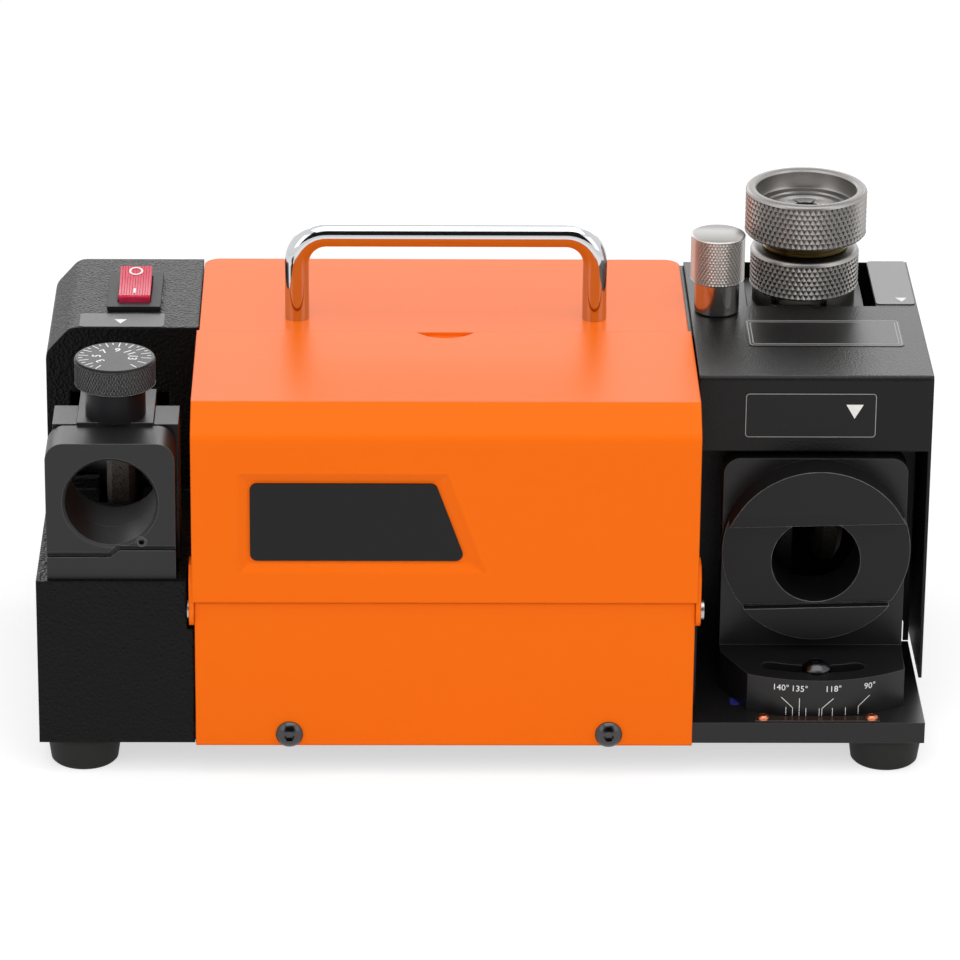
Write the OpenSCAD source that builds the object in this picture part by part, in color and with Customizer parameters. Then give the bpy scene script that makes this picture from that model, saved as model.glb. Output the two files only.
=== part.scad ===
// Bench drill bit sharpener: one double-ended motor, two grinding wheels and
// three guide stations (web thinning, point angle and lip relief angle).
// Millimetres. X runs along the motor shaft, Y from front to rear, Z up.

/* [Body] */
// Overall width, from the left housing to the right cover
machine_w = 320; // [300:1:400]
// Depth of the body behind the front of the base plate
body_d = 155; // [155:1:200]
// Height of the body above the underside of the base plate
body_h = 127; // [127:1:160]
// Thickness of the steel base plate
plate_t = 8; // [6:0.5:12]
// Width of the black housing on the left
left_w = 55.8; // [54:0.1:70]
// Width of the bay under the black cover on the right
right_w = 84; // [84:0.5:110]
// Height of the ledge that carries the web station
ledge_h = 63; // [58:0.5:64]
// Distance from the front to the upper part of the left housing
setback = 84; // [80:0.5:90]
// Size of the slope along the top left edge of the left housing
housing_slope = 9; // [4:0.5:14]
// Radius where that slope meets the top and the side
slope_r = 6; // [2:0.5:8]
// Thickness of the cast wall of the left housing
cast_t = 2.2; // [1.8:0.1:3]
// Thickness of the bent sheet covers
sheet_t = 1.2; // [1:0.1:1.6]
// Height of a rubber foot
foot_h = 12.5; // [8:0.5:20]
// Diameter of a rubber foot at the plate
foot_d = 27; // [20:0.5:30]

/* [Orange flap] */
// Depth of the flat top of the flap
flap_top = 69; // [60:0.5:75]
// Distance from the front to the crease of the flap
crease_y = 9.5; // [6:0.5:16]
// Height at which the flap ends above the lower panel
flap_z = 56; // [54:0.5:62]
// Height of the flap's hinge axis
hinge_z = 51; // [48:0.5:52]
// Distance of the hinge axis behind the front of the base plate
hinge_y = 3.2; // [3:0.1:4]
// Width of the pressed recess along its top edge
recess_top_w = 74; // [50:1:90]
// Width of the pressed recess along its bottom edge
recess_bottom_w = 88; // [60:1:100]
// Height of the pressed recess
recess_h = 38; // [25:1:42]
// Depth of the pressed recess
recess_deep = 2; // [1:0.1:3]

/* [Handle] */
// Diameter of the handle's rod
handle_d = 9; // [6:0.5:12]
// Distance between the legs of the handle
handle_span = 108.7; // [90:0.1:130]
// Height of the rod's centre line above the top
handle_rise = 32.3; // [25:0.1:45]
// Bend radius of the rod's centre line
handle_bend = 10.8; // [7:0.1:15]
// Distance from the front to the legs
handle_y = 94.2; // [90:0.1:120]

/* [Motor and wheels] */
// Distance from the front to the motor shaft
shaft_y = 105; // [103:0.5:110]
// Height of the motor shaft above the underside of the base plate
shaft_z = 70; // [68:0.5:74]
// Diameter of the motor shaft
shaft_d = 12; // [10:0.5:16]
// Outer diameter of the motor frame
motor_d = 84; // [76:1:88]
// Length of the motor frame
motor_l = 100; // [80:1:104]
// Diameter of the wheel of the web station
left_wheel_d = 60; // [56:1:62]
// Diameter of the wheel of the point angle and relief stations
right_wheel_d = 80; // [76:1:81]
// Thickness of each wheel
wheel_t = 10; // [8:0.5:13]
// Distance of the right wheel beyond the axis of the right stations
wheel_offset = 8; // [0:0.5:9]

/* [Web station] */
// Distance from the left side to the middle of the web station
web_in = 28; // [28:0.1:30]
// Diameter of the ports that take the chuck
port_d = 32.2; // [30:0.1:33]
// Width of the bored block
web_block_w = 45.7; // [44:0.1:47]
// Height of the bored block
web_block_h = 51.9; // [50:0.1:53]
// Depth of the bored block
web_block_d = 17; // [16:0.1:20]
// Height of the port's axis above the ledge
web_port_rise = 29.3; // [28:0.1:30]
// Diameter of the dial's knurled head
dial_d = 28.8; // [24:0.1:32]
// Height of the dial's knurled head
dial_h = 10.1; // [7:0.1:14]
// Diameter of the dial's neck
dial_neck_d = 21.5; // [16:0.5:23]
// Height of the dial's neck
dial_neck_h = 11.4; // [6:0.1:16]
// Slide travel for one full turn of the dial's scroll
scroll_lead = 3; // [2:0.1:4]

/* [Point angle station] */
// Distance from the right side to the axis of both right stations
port_in = 40.6; // [40:0.1:44]
// Distance from the front to the swivel pin
pivot_y = 60; // [58:0.5:61]
// Radius of the scale arc about the swivel pin
scale_r = 55; // [50:0.5:55]
// Height of the swivelling block above the base plate
block_h = 14.3; // [10:0.1:16]
// Width of the upright plate
upright_w = 66.4; // [60:0.1:68]
// Thickness of the upright plate
upright_t = 10; // [6:0.5:11]
// Height of the upright plate's top above the underside of the base plate
upright_z = 95.6; // [94:0.1:96]
// Distance from the front to the upright plate
upright_y = 36.5; // [36:0.1:38]
// Diameter of the guide disc
disc_d = 68; // [60:0.5:68]
// Thickness of the guide disc
disc_t = 12.5; // [10:0.5:14]
// Height of the guide disc's centre
disc_z = 61.5; // [60:0.5:62]
// Height of the port in the guide disc
point_z = 57.5; // [56:0.5:60]
// Width of the channel across the guide disc
channel_w = 33; // [32.5:0.5:40]
// Depth of the channel below the upper part of the guide disc
channel_deep = 8.1; // [6:0.1:9]
// Height of the guide disc's lower part above the channel
lip_proud = 2.3; // [1:0.1:4]
// Radius of the curved slot about the swivel pin
slot_r = 45; // [43:0.5:46]
// Width of the curved slot
slot_w = 6.4; // [5:0.1:8]
// Half of the angle that the curved slot spans
slot_half = 19; // [17:0.5:20]

/* [Relief station] */
// Distance from the front to the relief port
relief_y = 128.5; // [126:0.5:131]
// Diameter of the chuck's knurled nut
nut_d = 45; // [40:0.5:46]
// Height of the chuck's knurled nut
nut_h = 17.9; // [12:0.1:20]
// Diameter of the chuck's lower knurled ring
ring_d = 40.4; // [38:0.1:44]
// Height of the chuck's lower knurled ring
ring_h = 15.3; // [10:0.1:18]
// Thread length that shows between ring and nut
thread_show = 5; // [4:0.5:12]
// Diameter of the chuck's threaded barrel
barrel_d = 31.7; // [28:0.1:32]
// Diameter of the bush that carries the chuck
bush_d = 38; // [36:0.5:40]
// Height of the bush above the right cover
bush_show = 1; // [0.5:0.1:5]
// Diameter of the bore that grips the drill
collet_bore = 10; // [2:0.5:13]

/* [Cover knob] */
// Diameter of the knob's knurled head
knob_d = 20; // [16:0.5:24]
// Height of the knob's knurled head
knob_h = 17.9; // [10:0.1:20]
// Diameter of the knob's neck
knob_neck_d = 16.4; // [12:0.1:18]
// Height of the knob's neck
knob_neck_h = 12.2; // [8:0.1:18]
// Distance of the knob from the left edge of the right bay
knob_in = 9.6; // [9:0.1:12]
// Distance from the front to the knob
knob_y = 103.3; // [100:0.1:108]

/* [Switch] */
// Width of the switch bezel
bezel_w = 19.6; // [18:0.1:24]
// Length of the switch bezel
bezel_l = 36; // [32:0.5:44]
// Height of the switch bezel
bezel_t = 2.2; // [1.5:0.1:4]
// Width of the rocker
rocker_w = 11.6; // [8:0.1:14]
// Length of the rocker
rocker_l = 25.5; // [22:0.5:28]
// Tilt of the rocker to each side
rocker_tilt = 8; // [4:0.5:10]

/* [Hidden] */
$fn = 48;

// Clearance between pieces that only lie side by side
gap = 0.4;
// Radial clearance of a running fit
fit = 0.05;
// Clearance under a piece that slides on a face
slide_gap = 0.1;
// Smallest overlap that makes a cut break through
cut = 1;
// Steps in each bend of a sheet profile
bend_steps = 4;

left_x0 = -machine_w / 2;
left_x1 = left_x0 + left_w;
right_x1 = machine_w / 2;
right_x0 = right_x1 - right_w;
bulkhead_t = 1.5;
centre_x0 = left_x1 + gap;
centre_x1 = right_x0 - bulkhead_t - 2 * 0.15;
centre_x = (centre_x0 + centre_x1) / 2;
handle_x = centre_x + 0.7;
plate_x1 = right_x1 - 2;
panel_front = -sheet_t;
flap_front = panel_front - sheet_t - 0.1;
flap_gap = 0.15;
flap_wall = 0.7;
ear_out = 2;
flap_x0 = centre_x0 - flap_gap - flap_wall;
flap_x1 = centre_x1 + flap_gap + flap_wall;
orange_z = body_h + 0.3;
flap_outer_z = orange_z + 0.9;
seam_y = crease_y + flap_top;
screw_head_d = 9.7;
screw_head_h = 2.7;
gland_out = 9;
gland_z = 26;
y_front = panel_front - screw_head_h;
y_rear = body_d + gland_out;
y_mid = (y_front + y_rear) / 2;

web_x = left_x0 + web_in;
web_front = 2;
web_back = web_front + web_block_d;
web_port_x = web_x - 1.2;
web_port_z = ledge_h + web_port_rise;
web_block_z = ledge_h + slide_gap;
web_block_top = web_block_z + web_block_h;
web_base_d = 17.3;
web_gap = scroll_lead / 2 + 0.1;
web_base_w = 44.6;
web_bar_w = 27;
web_bar_l = 32;
web_bar_x = web_x + 0.1;
web_bar_z = web_port_z + port_d / 2 + 2.6;
web_bar_top = web_block_top + 1.2;
dial_y = web_back + 8.9;
spindle_d = 8;
scroll_d = 15.6;
scroll_h = 2.6;
scroll_pin_d = 2.4;
dowel_x = 9.8;
scroll_r = 4.6;

left_wheel_x = web_port_x;
right_port_x = right_x1 - port_in;
right_wheel_x = right_port_x + wheel_offset;
thrust_t = 4;
flange_d = 26;
motor_x0 = centre_x - motor_l / 2;
motor_x1 = centre_x + motor_l / 2;
bell_l = 12;
bearing_d = 32;
bearing_t = 9;
frame_t = 3;
shaft_x0 = left_wheel_x - wheel_t / 2 - thrust_t - 10;
shaft_x1 = right_wheel_x + wheel_t / 2 + thrust_t + 10;

upright_x = right_port_x - 0.6;
guard_y = shaft_y - right_wheel_d / 2 + 1.5;
block_z0 = plate_t + slide_gap;
block_z1 = plate_t + block_h;
disc_y0 = upright_y - disc_t;
hub_d = 40;
hub_back = upright_y + upright_t + 8;
tongue_w = 30;
pin_d = 8;
lock_screw_d = 5;

cover_in = body_h - sheet_t;
relief_block_t = 10;
relief_block_z1 = cover_in - 3.8;
relief_block_z0 = relief_block_z1 - relief_block_t;
relief_x = right_port_x;
bush_top = body_h + bush_show;
ring_z0 = bush_top + slide_gap;
ring_z1 = ring_z0 + ring_h;
nut_z0 = ring_z1 + thread_show;
nut_z1 = nut_z0 + nut_h;
spigot_d = port_d - 2 * fit;
barrel_low_d = 26;
cutout_x0 = relief_x - 21.9;
cutout_x1 = relief_x + 25.5;
cutout_y = relief_y - bush_d / 2 - 2;
knob_x = right_x0 + knob_in;
stud_d = 6;

switch_x = left_x0 + 31.5;
switch_y = body_d - 36;
pivot_drop = 1.2;
foot_x = 15.4;
foot_y = 14.8;

// Moves the drawing so that it stands on its feet, centred over the origin
module stand()
{
    translate([0, -y_mid, foot_h])
        children();
}

// Extrudes a (y, z) profile along X
module along_x(x0, x1)
{
    translate([x0, 0, 0])
        rotate([90, 0, 90])
            linear_extrude(x1 - x0)
                children();
}

// Extrudes an (x, z) profile along Y
module along_y(y0, y1)
{
    translate([0, y1, 0])
        rotate([90, 0, 0])
            linear_extrude(y1 - y0)
                children();
}

// Extrudes an (x, y) profile along Z
module along_z(z0, z1)
{
    translate([0, 0, z0])
        linear_extrude(z1 - z0)
            children();
}

module rod_x(d, x0, x1, y, z)
{
    translate([x0, y, z])
        rotate([0, 90, 0])
            cylinder(d = d, h = x1 - x0);
}

module rod_y(d, y0, y1, x, z)
{
    translate([x, y1, z])
        rotate([90, 0, 0])
            cylinder(d = d, h = y1 - y0);
}

module rod_z(d, z0, z1, x, y)
{
    translate([x, y, z0])
        cylinder(d = d, h = z1 - z0);
}

module box(x0, x1, y0, y1, z0, z1)
{
    translate([x0, y0, z0])
        cube([x1 - x0, y1 - y0, z1 - z0]);
}

// Rectangle from (x0, y0) to (x1, y1) with round corners
module round_rect(x0, x1, y0, y1, r)
{
    translate([x0 + r, y0])
        square([x1 - x0 - 2 * r, y1 - y0]);
    translate([x0, y0 + r])
        square([x1 - x0, y1 - y0 - 2 * r]);
    for (x = [x0 + r, x1 - r], y = [y0 + r, y1 - r])
        translate([x, y])
            circle(r = r);
}

function unit(v) = v / norm(v);
function left_of(v) = [-v[1], v[0]];
function reversed(p) = [for (i = [len(p) - 1:-1:0]) p[i]];

// Corner of a path that runs t to the left of a, b, c
function beside_corner(a, b, c, t) =
    let (n = left_of(unit(b - a)), m = left_of(unit(c - b)))
    b + (n + m) * t / (1 + n * m);

// Path that runs t to the left of path p
function beside(p, t) = let (last = len(p) - 1) [
    for (i = [0:last])
        i == 0 ? p[0] + left_of(unit(p[1] - p[0])) * t
        : i == last ? p[last] + left_of(unit(p[last] - p[last - 1])) * t
        : beside_corner(p[i - 1], p[i], p[i + 1], t)
];

// Arc of radius r that rounds the corner b of a, b, c
function bend(a, b, c, r) =
    let (
        u = unit(a - b),
        v = unit(c - b),
        half = acos(u * v) / 2,
        middle = b + unit(u + v) * r / sin(half),
        from = b + u * r / tan(half) - middle,
        to = b + v * r / tan(half) - middle,
        start = atan2(from[1], from[0]),
        turn = atan2(to[1], to[0]) - start,
        sweep = turn > 180 ? turn - 360 : turn < -180 ? turn + 360 : turn
    )
    [for (i = [0:bend_steps]) middle
        + r * [cos(start + sweep * i / bend_steps), sin(start + sweep * i / bend_steps)]];

function bent(p, r) = [
    for (i = [0:len(p) - 1]) each
        i == 0 || i == len(p) - 1 ? [p[i]] : bend(p[i - 1], p[i], p[i + 1], r[i])
];

// Section of a sheet of thickness t bent along path p, with outer radii r;
// the material lies to the left of the path
module sheet_section(p, r, t)
{
    inner_r = [for (x = r) max(x - t, 0.3)];
    polygon(concat(bent(p, r), reversed(bent(beside(p, t), inner_r))));
}

// Button head screw along -Y, with its socket, head against the plane y
module button_screw_y(x, y, z, d, head_d, head_h, l)
{
    difference() {
        union() {
            translate([x, y, z])
                rotate([90, 0, 0])
                    rotate_extrude()
                        intersection() {
                            translate([0, head_h - head_d * 0.62 + 0.35])
                                circle(r = head_d * 0.62);
                            square([head_d / 2, head_h]);
                        }
            rod_y(d, y - 0.2, y + l, x, z);
        }
        translate([x, y - head_h + 1.6, z])
            rotate([90, 0, 0])
                cylinder(d = head_d * 0.4, h = head_h, $fn = 6);
    }
}

// Pan head screw along -Z, head resting on the plane z
module pan_screw_z(x, y, z, d, head_d, head_h, l)
{
    difference() {
        union() {
            translate([x, y, z])
                rotate_extrude()
                    intersection() {
                        translate([0, head_h - head_d * 0.62 + 0.35])
                            circle(r = head_d * 0.62);
                        square([head_d / 2, head_h]);
                    }
            rod_z(d, z - l, z + 0.2, x, y);
        }
        translate([x, y, z + head_h - 1.2])
            cylinder(d = head_d * 0.4, h = head_h, $fn = 6);
    }
}

module hex_nut_x(flats, h, bore, x, y, z)
{
    translate([x, y, z])
        rotate([0, 90, 0])
            difference() {
                cylinder(d = flats / cos(30), h = h, $fn = 6);
                translate([0, 0, -cut])
                    cylinder(d = bore, h = h + 2 * cut);
            }
}

function foot_spots() = [for (x = [left_x0 + foot_x, plate_x1 - foot_x + 2.4],
    y = [foot_y, body_d - foot_y]) [x, y]];
function housing_screw_spots() = [for (x = [left_x0 + 10, left_x1 - 10], y = [40, body_d - 36]) [x, y]];
panel_screw_spots = [centre_x0 + 33.5, centre_x1 - 30];
index_screw_spots = [right_port_x - 19.5, right_port_x + 19.5];

module base_plate()
{
    color("#3a3a3b")
        stand()
            difference() {
                box(left_x0 + cast_t + 0.2, plate_x1, 0, body_d - sheet_t - 0.2, 0, plate_t);
                for (y = [-cut, body_d - cast_t - 0.2])
                    box(left_x0 - cut, left_x1 + 0.2, y, y + cast_t + 0.2 + cut, -cut, plate_t + cut);
                // shallow recess in the right edge, behind the wheel guard
                box(plate_x1 - 2.6, plate_x1 + cut, guard_y + 4.5, guard_y + 34, -cut, plate_t + cut);
                for (p = foot_spots())
                    rod_z(5 + 2 * fit, -cut, plate_t + cut, p[0], p[1]);
                for (p = housing_screw_spots())
                    rod_z(4 + 2 * fit, -cut, plate_t + cut, p[0], p[1]);
                for (x = panel_screw_spots)
                    rod_y(5 + 2 * fit, -cut, 12, x, plate_t / 2);
                for (x = index_screw_spots)
                    rod_z(2.5 + 2 * fit, plate_t - 4, plate_t + cut, x, 2.6);
                rod_z(lock_screw_d + 2 * fit, -cut, plate_t + cut, right_port_x, pivot_y - slot_r);
                rod_z(pin_d + 2 * fit, -cut, plate_t + cut, right_port_x, pivot_y);
            }
}

module rubber_feet()
{
    color("#232322")
        stand()
            for (p = foot_spots())
                translate([p[0], p[1], -foot_h])
                    rotate_extrude()
                        difference() {
                            polygon([
                                [0, 0], [foot_d / 2 - 2.2, 0], [foot_d / 2 - 1.4, 0.8],
                                [foot_d / 2, foot_h - 2], [foot_d / 2, foot_h], [0, foot_h]
                            ]);
                            translate([-cut, -cut])
                                square([2.55 + cut, foot_h + 2 * cut]);
                            translate([-cut, -cut])
                                square([5.4 + cut, 5 + cut]);
                        }
}

module foot_screws()
{
    color("#9a9a9a")
        stand()
            for (p = foot_spots())
                translate([p[0], p[1], 0])
                    mirror([0, 0, 1])
                        difference() {
                            union() {
                                rod_z(9.5, foot_h - 5, foot_h - 2, 0, 0);
                                rod_z(5, -plate_t, foot_h - 4.9, 0, 0);
                            }
                            rod_z(3, foot_h - 3.6, foot_h, 0, 0, $fn = 6);
                        }
}

// Outline of the left housing seen from the front, inset by t
module housing_front(t)
{
    low = [left_x0 + t, -cut - t];
    side = [left_x0 + t, body_h - housing_slope - 1 - t * 0.4];
    crown = [left_x0 + housing_slope + t * 0.4, body_h - t];
    right = [left_x1 - t, body_h - t];
    polygon(concat([low], bend(low, side, crown, slope_r), bend(side, crown, right, slope_r),
        [right, [left_x1 - t, -cut - t]]));
}

module housing_body(t)
{
    along_y(setback + t, body_d - t)
        housing_front(t);
    box(left_x0 + t, left_x1 - t, t, body_d - t, -cut, ledge_h - t);
}

module left_housing()
{
    color("#242424")
        stand()
            difference() {
                union() {
                    difference() {
                        housing_body(0);
                        housing_body(cast_t);
                    }
                    for (p = housing_screw_spots())
                        rod_z(9, plate_t, plate_t + 12, p[0], p[1]);
                    for (x = [left_x0 + 1, left_x1 - 7], p = housing_screw_spots())
                        box(x, x + 6, p[1] - 1.5, p[1] + 1.5, plate_t, plate_t + 12);
                }
                box(left_x0 - cut, left_x1 + cut, -cut, body_d + cut, -2 * cut, 0);
                // the right wall stands on the base plate
                box(left_x1 - cast_t - 0.1, left_x1 + cut, cast_t + 0.1, body_d - cast_t - 0.1,
                    -cut, plate_t);
                for (p = housing_screw_spots())
                    rod_z(4 + 2 * fit, plate_t - cut, plate_t + 10, p[0], p[1]);
                // window and slot for the web station's wheel
                box(web_port_x - 18, web_port_x + 18, setback - cut, setback + cast_t + cut,
                    ledge_h + 5, web_port_z + 9.5);
                box(web_port_x - wheel_t / 2 - 3, web_port_x + wheel_t / 2 + 3,
                    shaft_y - left_wheel_d / 2 - 3, setback + cast_t + cut,
                    ledge_h - cast_t - cut, ledge_h + 6);
                // notch for the flap's left ear and its screw head
                box(left_x1 - ear_out - gap, left_x1 + cut, -cut, hinge_y + 7,
                    hinge_z - 6.4, ledge_h + cut);
                // hole for the shaft
                rod_x(2 * shaft_d, left_x1 - cast_t - cut, left_x1 + cut, shaft_y, shaft_z);
                // switch hole
                box(switch_x - bezel_w / 2 + 1.9, switch_x + bezel_w / 2 - 1.9,
                    switch_y - bezel_l / 2 + 1.9, switch_y + bezel_l / 2 - 1.9,
                    body_h - cast_t - cut, body_h + cut);
                // screw holes of the web station's base
                for (x = [web_bar_x - 17, web_bar_x + 17])
                    rod_z(4 + 2 * fit, ledge_h - cast_t - cut, ledge_h + cut, x, web_back + 11);
                // cord hole
                rod_y(12 + 2 * fit, body_d - cast_t - cut, body_d + cut, web_x, gland_z);
            }
}

module housing_screws()
{
    color("#8c8c8c")
        stand()
            for (p = housing_screw_spots()) {
                rod_z(4, -0.2, plate_t + 9, p[0], p[1]);
                rod_z(7.5, -2.2, 0, p[0], p[1]);
            }
}

// Gland in the rear wall for the mains cord
module cord_gland()
{
    color("#1f1f1f")
        stand()
            difference() {
                union() {
                    rod_y(12, body_d - cast_t - 6, body_d + 0.2, web_x, gland_z);
                    rod_y(20, body_d, body_d + 4, web_x, gland_z);
                    rod_y(15, body_d + 3.9, body_d + gland_out, web_x, gland_z);
                    translate([web_x, body_d - cast_t - 0.1, gland_z])
                        rotate([90, 0, 0])
                            cylinder(d = 17 / cos(30), h = 4, $fn = 6);
                }
                rod_y(7, body_d - 20, body_d + gland_out + cut, web_x, gland_z);
            }
}

module switch_bezel()
{
    half_w = bezel_w / 2;
    half_l = bezel_l / 2;
    color("#1e1e1e")
        stand()
            difference() {
                union() {
                    along_z(body_h, body_h + bezel_t)
                        round_rect(switch_x - half_w, switch_x + half_w,
                            switch_y - half_l, switch_y + half_l, 1.5);
                    box(switch_x - half_w + 2, switch_x + half_w - 2,
                        switch_y - half_l + 2, switch_y + half_l - 2, body_h - 20, body_h + 0.2);
                }
                box(switch_x - rocker_w / 2 - 0.3, switch_x + rocker_w / 2 + 0.3,
                    switch_y - rocker_l / 2 - 1, switch_y + rocker_l / 2 + 1,
                    body_h - 8, body_h + bezel_t + cut);
                rod_x(2.4 + 2 * fit, switch_x - half_w + 2.5, switch_x + half_w - 2.5,
                    switch_y, body_h - pivot_drop);
            }
    color("#c8b070")
        stand()
            for (y = [-11, 0, 11])
                box(switch_x - 2.4, switch_x + 2.4, switch_y + y - 0.4, switch_y + y + 0.4,
                    body_h - 27, body_h - 19.9);
}

module switch_rocker()
{
    half_l = rocker_l / 2;
    color("#c01830")
        stand()
            translate([switch_x, switch_y, body_h - pivot_drop])
                rotate([rocker_tilt, 0, 0]) {
                    along_x(-rocker_w / 2, rocker_w / 2)
                        polygon([
                            [-half_l, 3], [-half_l, 6.5], [-half_l + 0.6, 7],
                            [0, 5.8], [half_l - 0.6, 7], [half_l, 6.5], [half_l, 3],
                            [half_l - 8, -3], [-half_l + 8, -3]
                        ]);
                    rod_x(2.4, -bezel_w / 2 + 2.7, bezel_w / 2 - 2.7, 0, 0);
                }
}

module web_base()
{
    y0 = web_back + web_gap;
    y1 = y0 + web_base_d;
    color("#2e2e2f")
        stand()
            difference() {
                box(web_bar_x - web_base_w / 2, web_bar_x + web_base_w / 2, y0, y1,
                    ledge_h, web_block_top);
                box(web_bar_x - web_bar_w / 2 - 0.2, web_bar_x + web_bar_w / 2 + 0.2,
                    y0 - cut, y1 + cut, web_bar_z, web_block_top + cut);
                rod_y(port_d + 1.2, y0 - cut, y1 + cut, web_port_x, web_port_z);
                rod_z(scroll_pin_d + 2 * fit, web_bar_z - 1.6, web_bar_z + cut,
                    web_x, dial_y - scroll_r);
                for (x = [web_bar_x - 17, web_bar_x + 17])
                    rod_z(4 + 2 * fit, ledge_h - cut, ledge_h + 9, x, web_back + 11);
            }
}

module web_base_screws()
{
    color("#8c8c8c")
        stand()
            for (x = [web_bar_x - 17, web_bar_x + 17]) {
                rod_z(4, ledge_h - cast_t - 0.2, ledge_h + 8, x, web_back + 11);
                rod_z(7, ledge_h - cast_t - 3, ledge_h - cast_t, x, web_back + 11);
            }
}

// Stepped groove across the front of the bored block
module web_groove()
{
    x0 = web_port_x - web_block_w / 2 - cut;
    x1 = web_port_x + web_block_w / 2 + cut;
    low = web_block_z + 8.4;
    step = 2.7;
    along_y(web_front - cut, web_front + 1.6)
        polygon([
            [x0, low], [web_x - 1.4, low], [web_x + 1.6, low + step], [x1, low + step],
            [x1, low + step + 1.8], [web_x + 0.6, low + step + 1.8], [web_x - 2, low + 2], [x0, low + 2]
        ]);
}

module web_block()
{
    color("#444444")
        stand()
            difference() {
                along_y(web_front, web_back)
                    difference() {
                        union() {
                            round_rect(web_port_x - web_block_w / 2, web_port_x + web_block_w / 2,
                                web_block_z, web_block_top, 6.5);
                            translate([web_port_x - web_block_w / 2, web_block_z])
                                square([web_block_w, web_block_h / 2]);
                        }
                        translate([web_port_x, web_port_z])
                            circle(d = port_d, $fn = 96);
                    }
                // chamfer at the mouth of the port
                translate([web_port_x, web_front + 0.99, web_port_z])
                    rotate([90, 0, 0])
                        cylinder(d1 = port_d, d2 = port_d + 4, h = 2, $fn = 96);
                web_groove();
                rod_y(4 + 2 * fit, web_front - cut, web_front + 8, web_x + 9.6, web_block_z + 14.2);
                for (x = [-dowel_x, dowel_x])
                    rod_y(3 + 2 * fit, web_back - 5, web_back + cut, web_bar_x + x,
                        (web_bar_z + web_block_top) / 2);
            }
}

module web_bar()
{
    x0 = web_bar_x - web_bar_w / 2;
    x1 = web_bar_x + web_bar_w / 2;
    foot = web_bar_z + slide_gap;
    color("#3c3c3d")
        stand()
            difference() {
                box(x0, x1, web_back, web_back + web_bar_l, foot, web_bar_top);
                rod_z(spindle_d + 2 * fit, foot - cut, web_bar_top + cut, web_x, dial_y);
                rod_z(scroll_d + 0.4, foot - cut, foot + scroll_h + 0.3, web_x, dial_y);
                for (x = [-dowel_x, dowel_x])
                    rod_y(3 + 2 * fit, web_back - cut, web_back + 5, web_bar_x + x,
                        (web_bar_z + web_block_top) / 2);
            }
}

module bar_dowels()
{
    color("#a0a0a0")
        stand()
            for (x = [-dowel_x, dowel_x])
                rod_y(3, web_back - 4.8, web_back + 4.8, web_bar_x + x,
                    (web_bar_z + web_block_top) / 2);
}

module web_set_screw()
{
    color("#2a2a2a")
        stand()
            difference() {
                rod_y(4, web_front + 0.5, web_front + 7.8, web_x + 9.6, web_block_z + 14.2);
                translate([web_x + 9.6, web_front + 2.5, web_block_z + 14.2])
                    rotate([90, 0, 0])
                        cylinder(d = 2.3, h = 4, $fn = 6);
            }
}

module web_dial()
{
    z0 = web_bar_top + slide_gap;
    z1 = z0 + dial_neck_h;
    z2 = z1 + dial_h;
    r = dial_d / 2;
    color("#3f3f40")
        stand()
            difference() {
                translate([web_x, dial_y, 0])
                    rotate_extrude()
                        polygon([
                            [0, z0], [dial_neck_d / 2, z0], [dial_neck_d / 2, z1], [r - 0.6, z1],
                            [r, z1 + 0.6], [r, z2 - 1], [r - 1, z2], [0, z2]
                        ]);
                rod_z(spindle_d + 2 * fit, z0 - cut, z2 - 3, web_x, dial_y);
            }
}

// The spindle ends in a scroll whose groove runs over the fixed pin, so the
// bar and the bored block move along Y when the dial is turned
module dial_spindle()
{
    foot = web_bar_z + slide_gap + 0.15;
    groove = scroll_pin_d / 2 + 0.2;
    top = web_bar_top + slide_gap + dial_neck_h + dial_h - 3.2;
    reach = 176;
    steps = 20;
    color("#8f8f8f")
        stand()
            difference() {
                union() {
                    rod_z(spindle_d, foot, top, web_x, dial_y);
                    rod_z(scroll_d, foot, foot + scroll_h, web_x, dial_y);
                }
                translate([web_x, dial_y, foot - cut])
                    linear_extrude(cut + scroll_h - 0.8)
                        polygon(concat(
                            [for (i = [0:steps]) let (a = -reach + 2 * reach * i / steps)
                                (scroll_r + scroll_lead * a / 360 + groove) * [sin(a), -cos(a)]],
                            [for (i = [steps:-1:0]) let (a = -reach + 2 * reach * i / steps)
                                (scroll_r + scroll_lead * a / 360 - groove) * [sin(a), -cos(a)]]
                        ));
            }
}

module scroll_pin()
{
    color("#a0a0a0")
        stand()
            rod_z(scroll_pin_d, web_bar_z - 1.5, web_bar_z + slide_gap + 1.4, web_x, dial_y - scroll_r);
}

// Grinding wheel: hub disc with an abrasive rim, bevelled on both edges
module wheel(x, d, bevel)
{
    color("#55504a")
        stand()
            translate([x, shaft_y, shaft_z])
                rotate([0, 90, 0])
                    rotate_extrude($fn = 96)
                        polygon([
                            [shaft_d / 2 + fit, -wheel_t / 2], [d / 2 - bevel, -wheel_t / 2],
                            [d / 2, -wheel_t / 2 + bevel * 0.6], [d / 2, wheel_t / 2 - bevel * 0.6],
                            [d / 2 - bevel, wheel_t / 2], [shaft_d / 2 + fit, wheel_t / 2]
                        ]);
}

module left_wheel()
{
    wheel(left_wheel_x, left_wheel_d, 3);
}

module right_wheel()
{
    wheel(right_wheel_x, right_wheel_d, 4);
}

// Flanges on both sides of each wheel
module wheel_flanges()
{
    color("#8a8a8a")
        stand()
            for (x = [left_wheel_x, right_wheel_x], side = [-1, 1])
                difference() {
                    rod_x(flange_d, x + side * (wheel_t + thrust_t) / 2 - thrust_t / 2,
                        x + side * (wheel_t + thrust_t) / 2 + thrust_t / 2, shaft_y, shaft_z);
                    rod_x(shaft_d + 2 * fit, x - 2 * wheel_t, x + 2 * wheel_t, shaft_y, shaft_z);
                }
}

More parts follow.
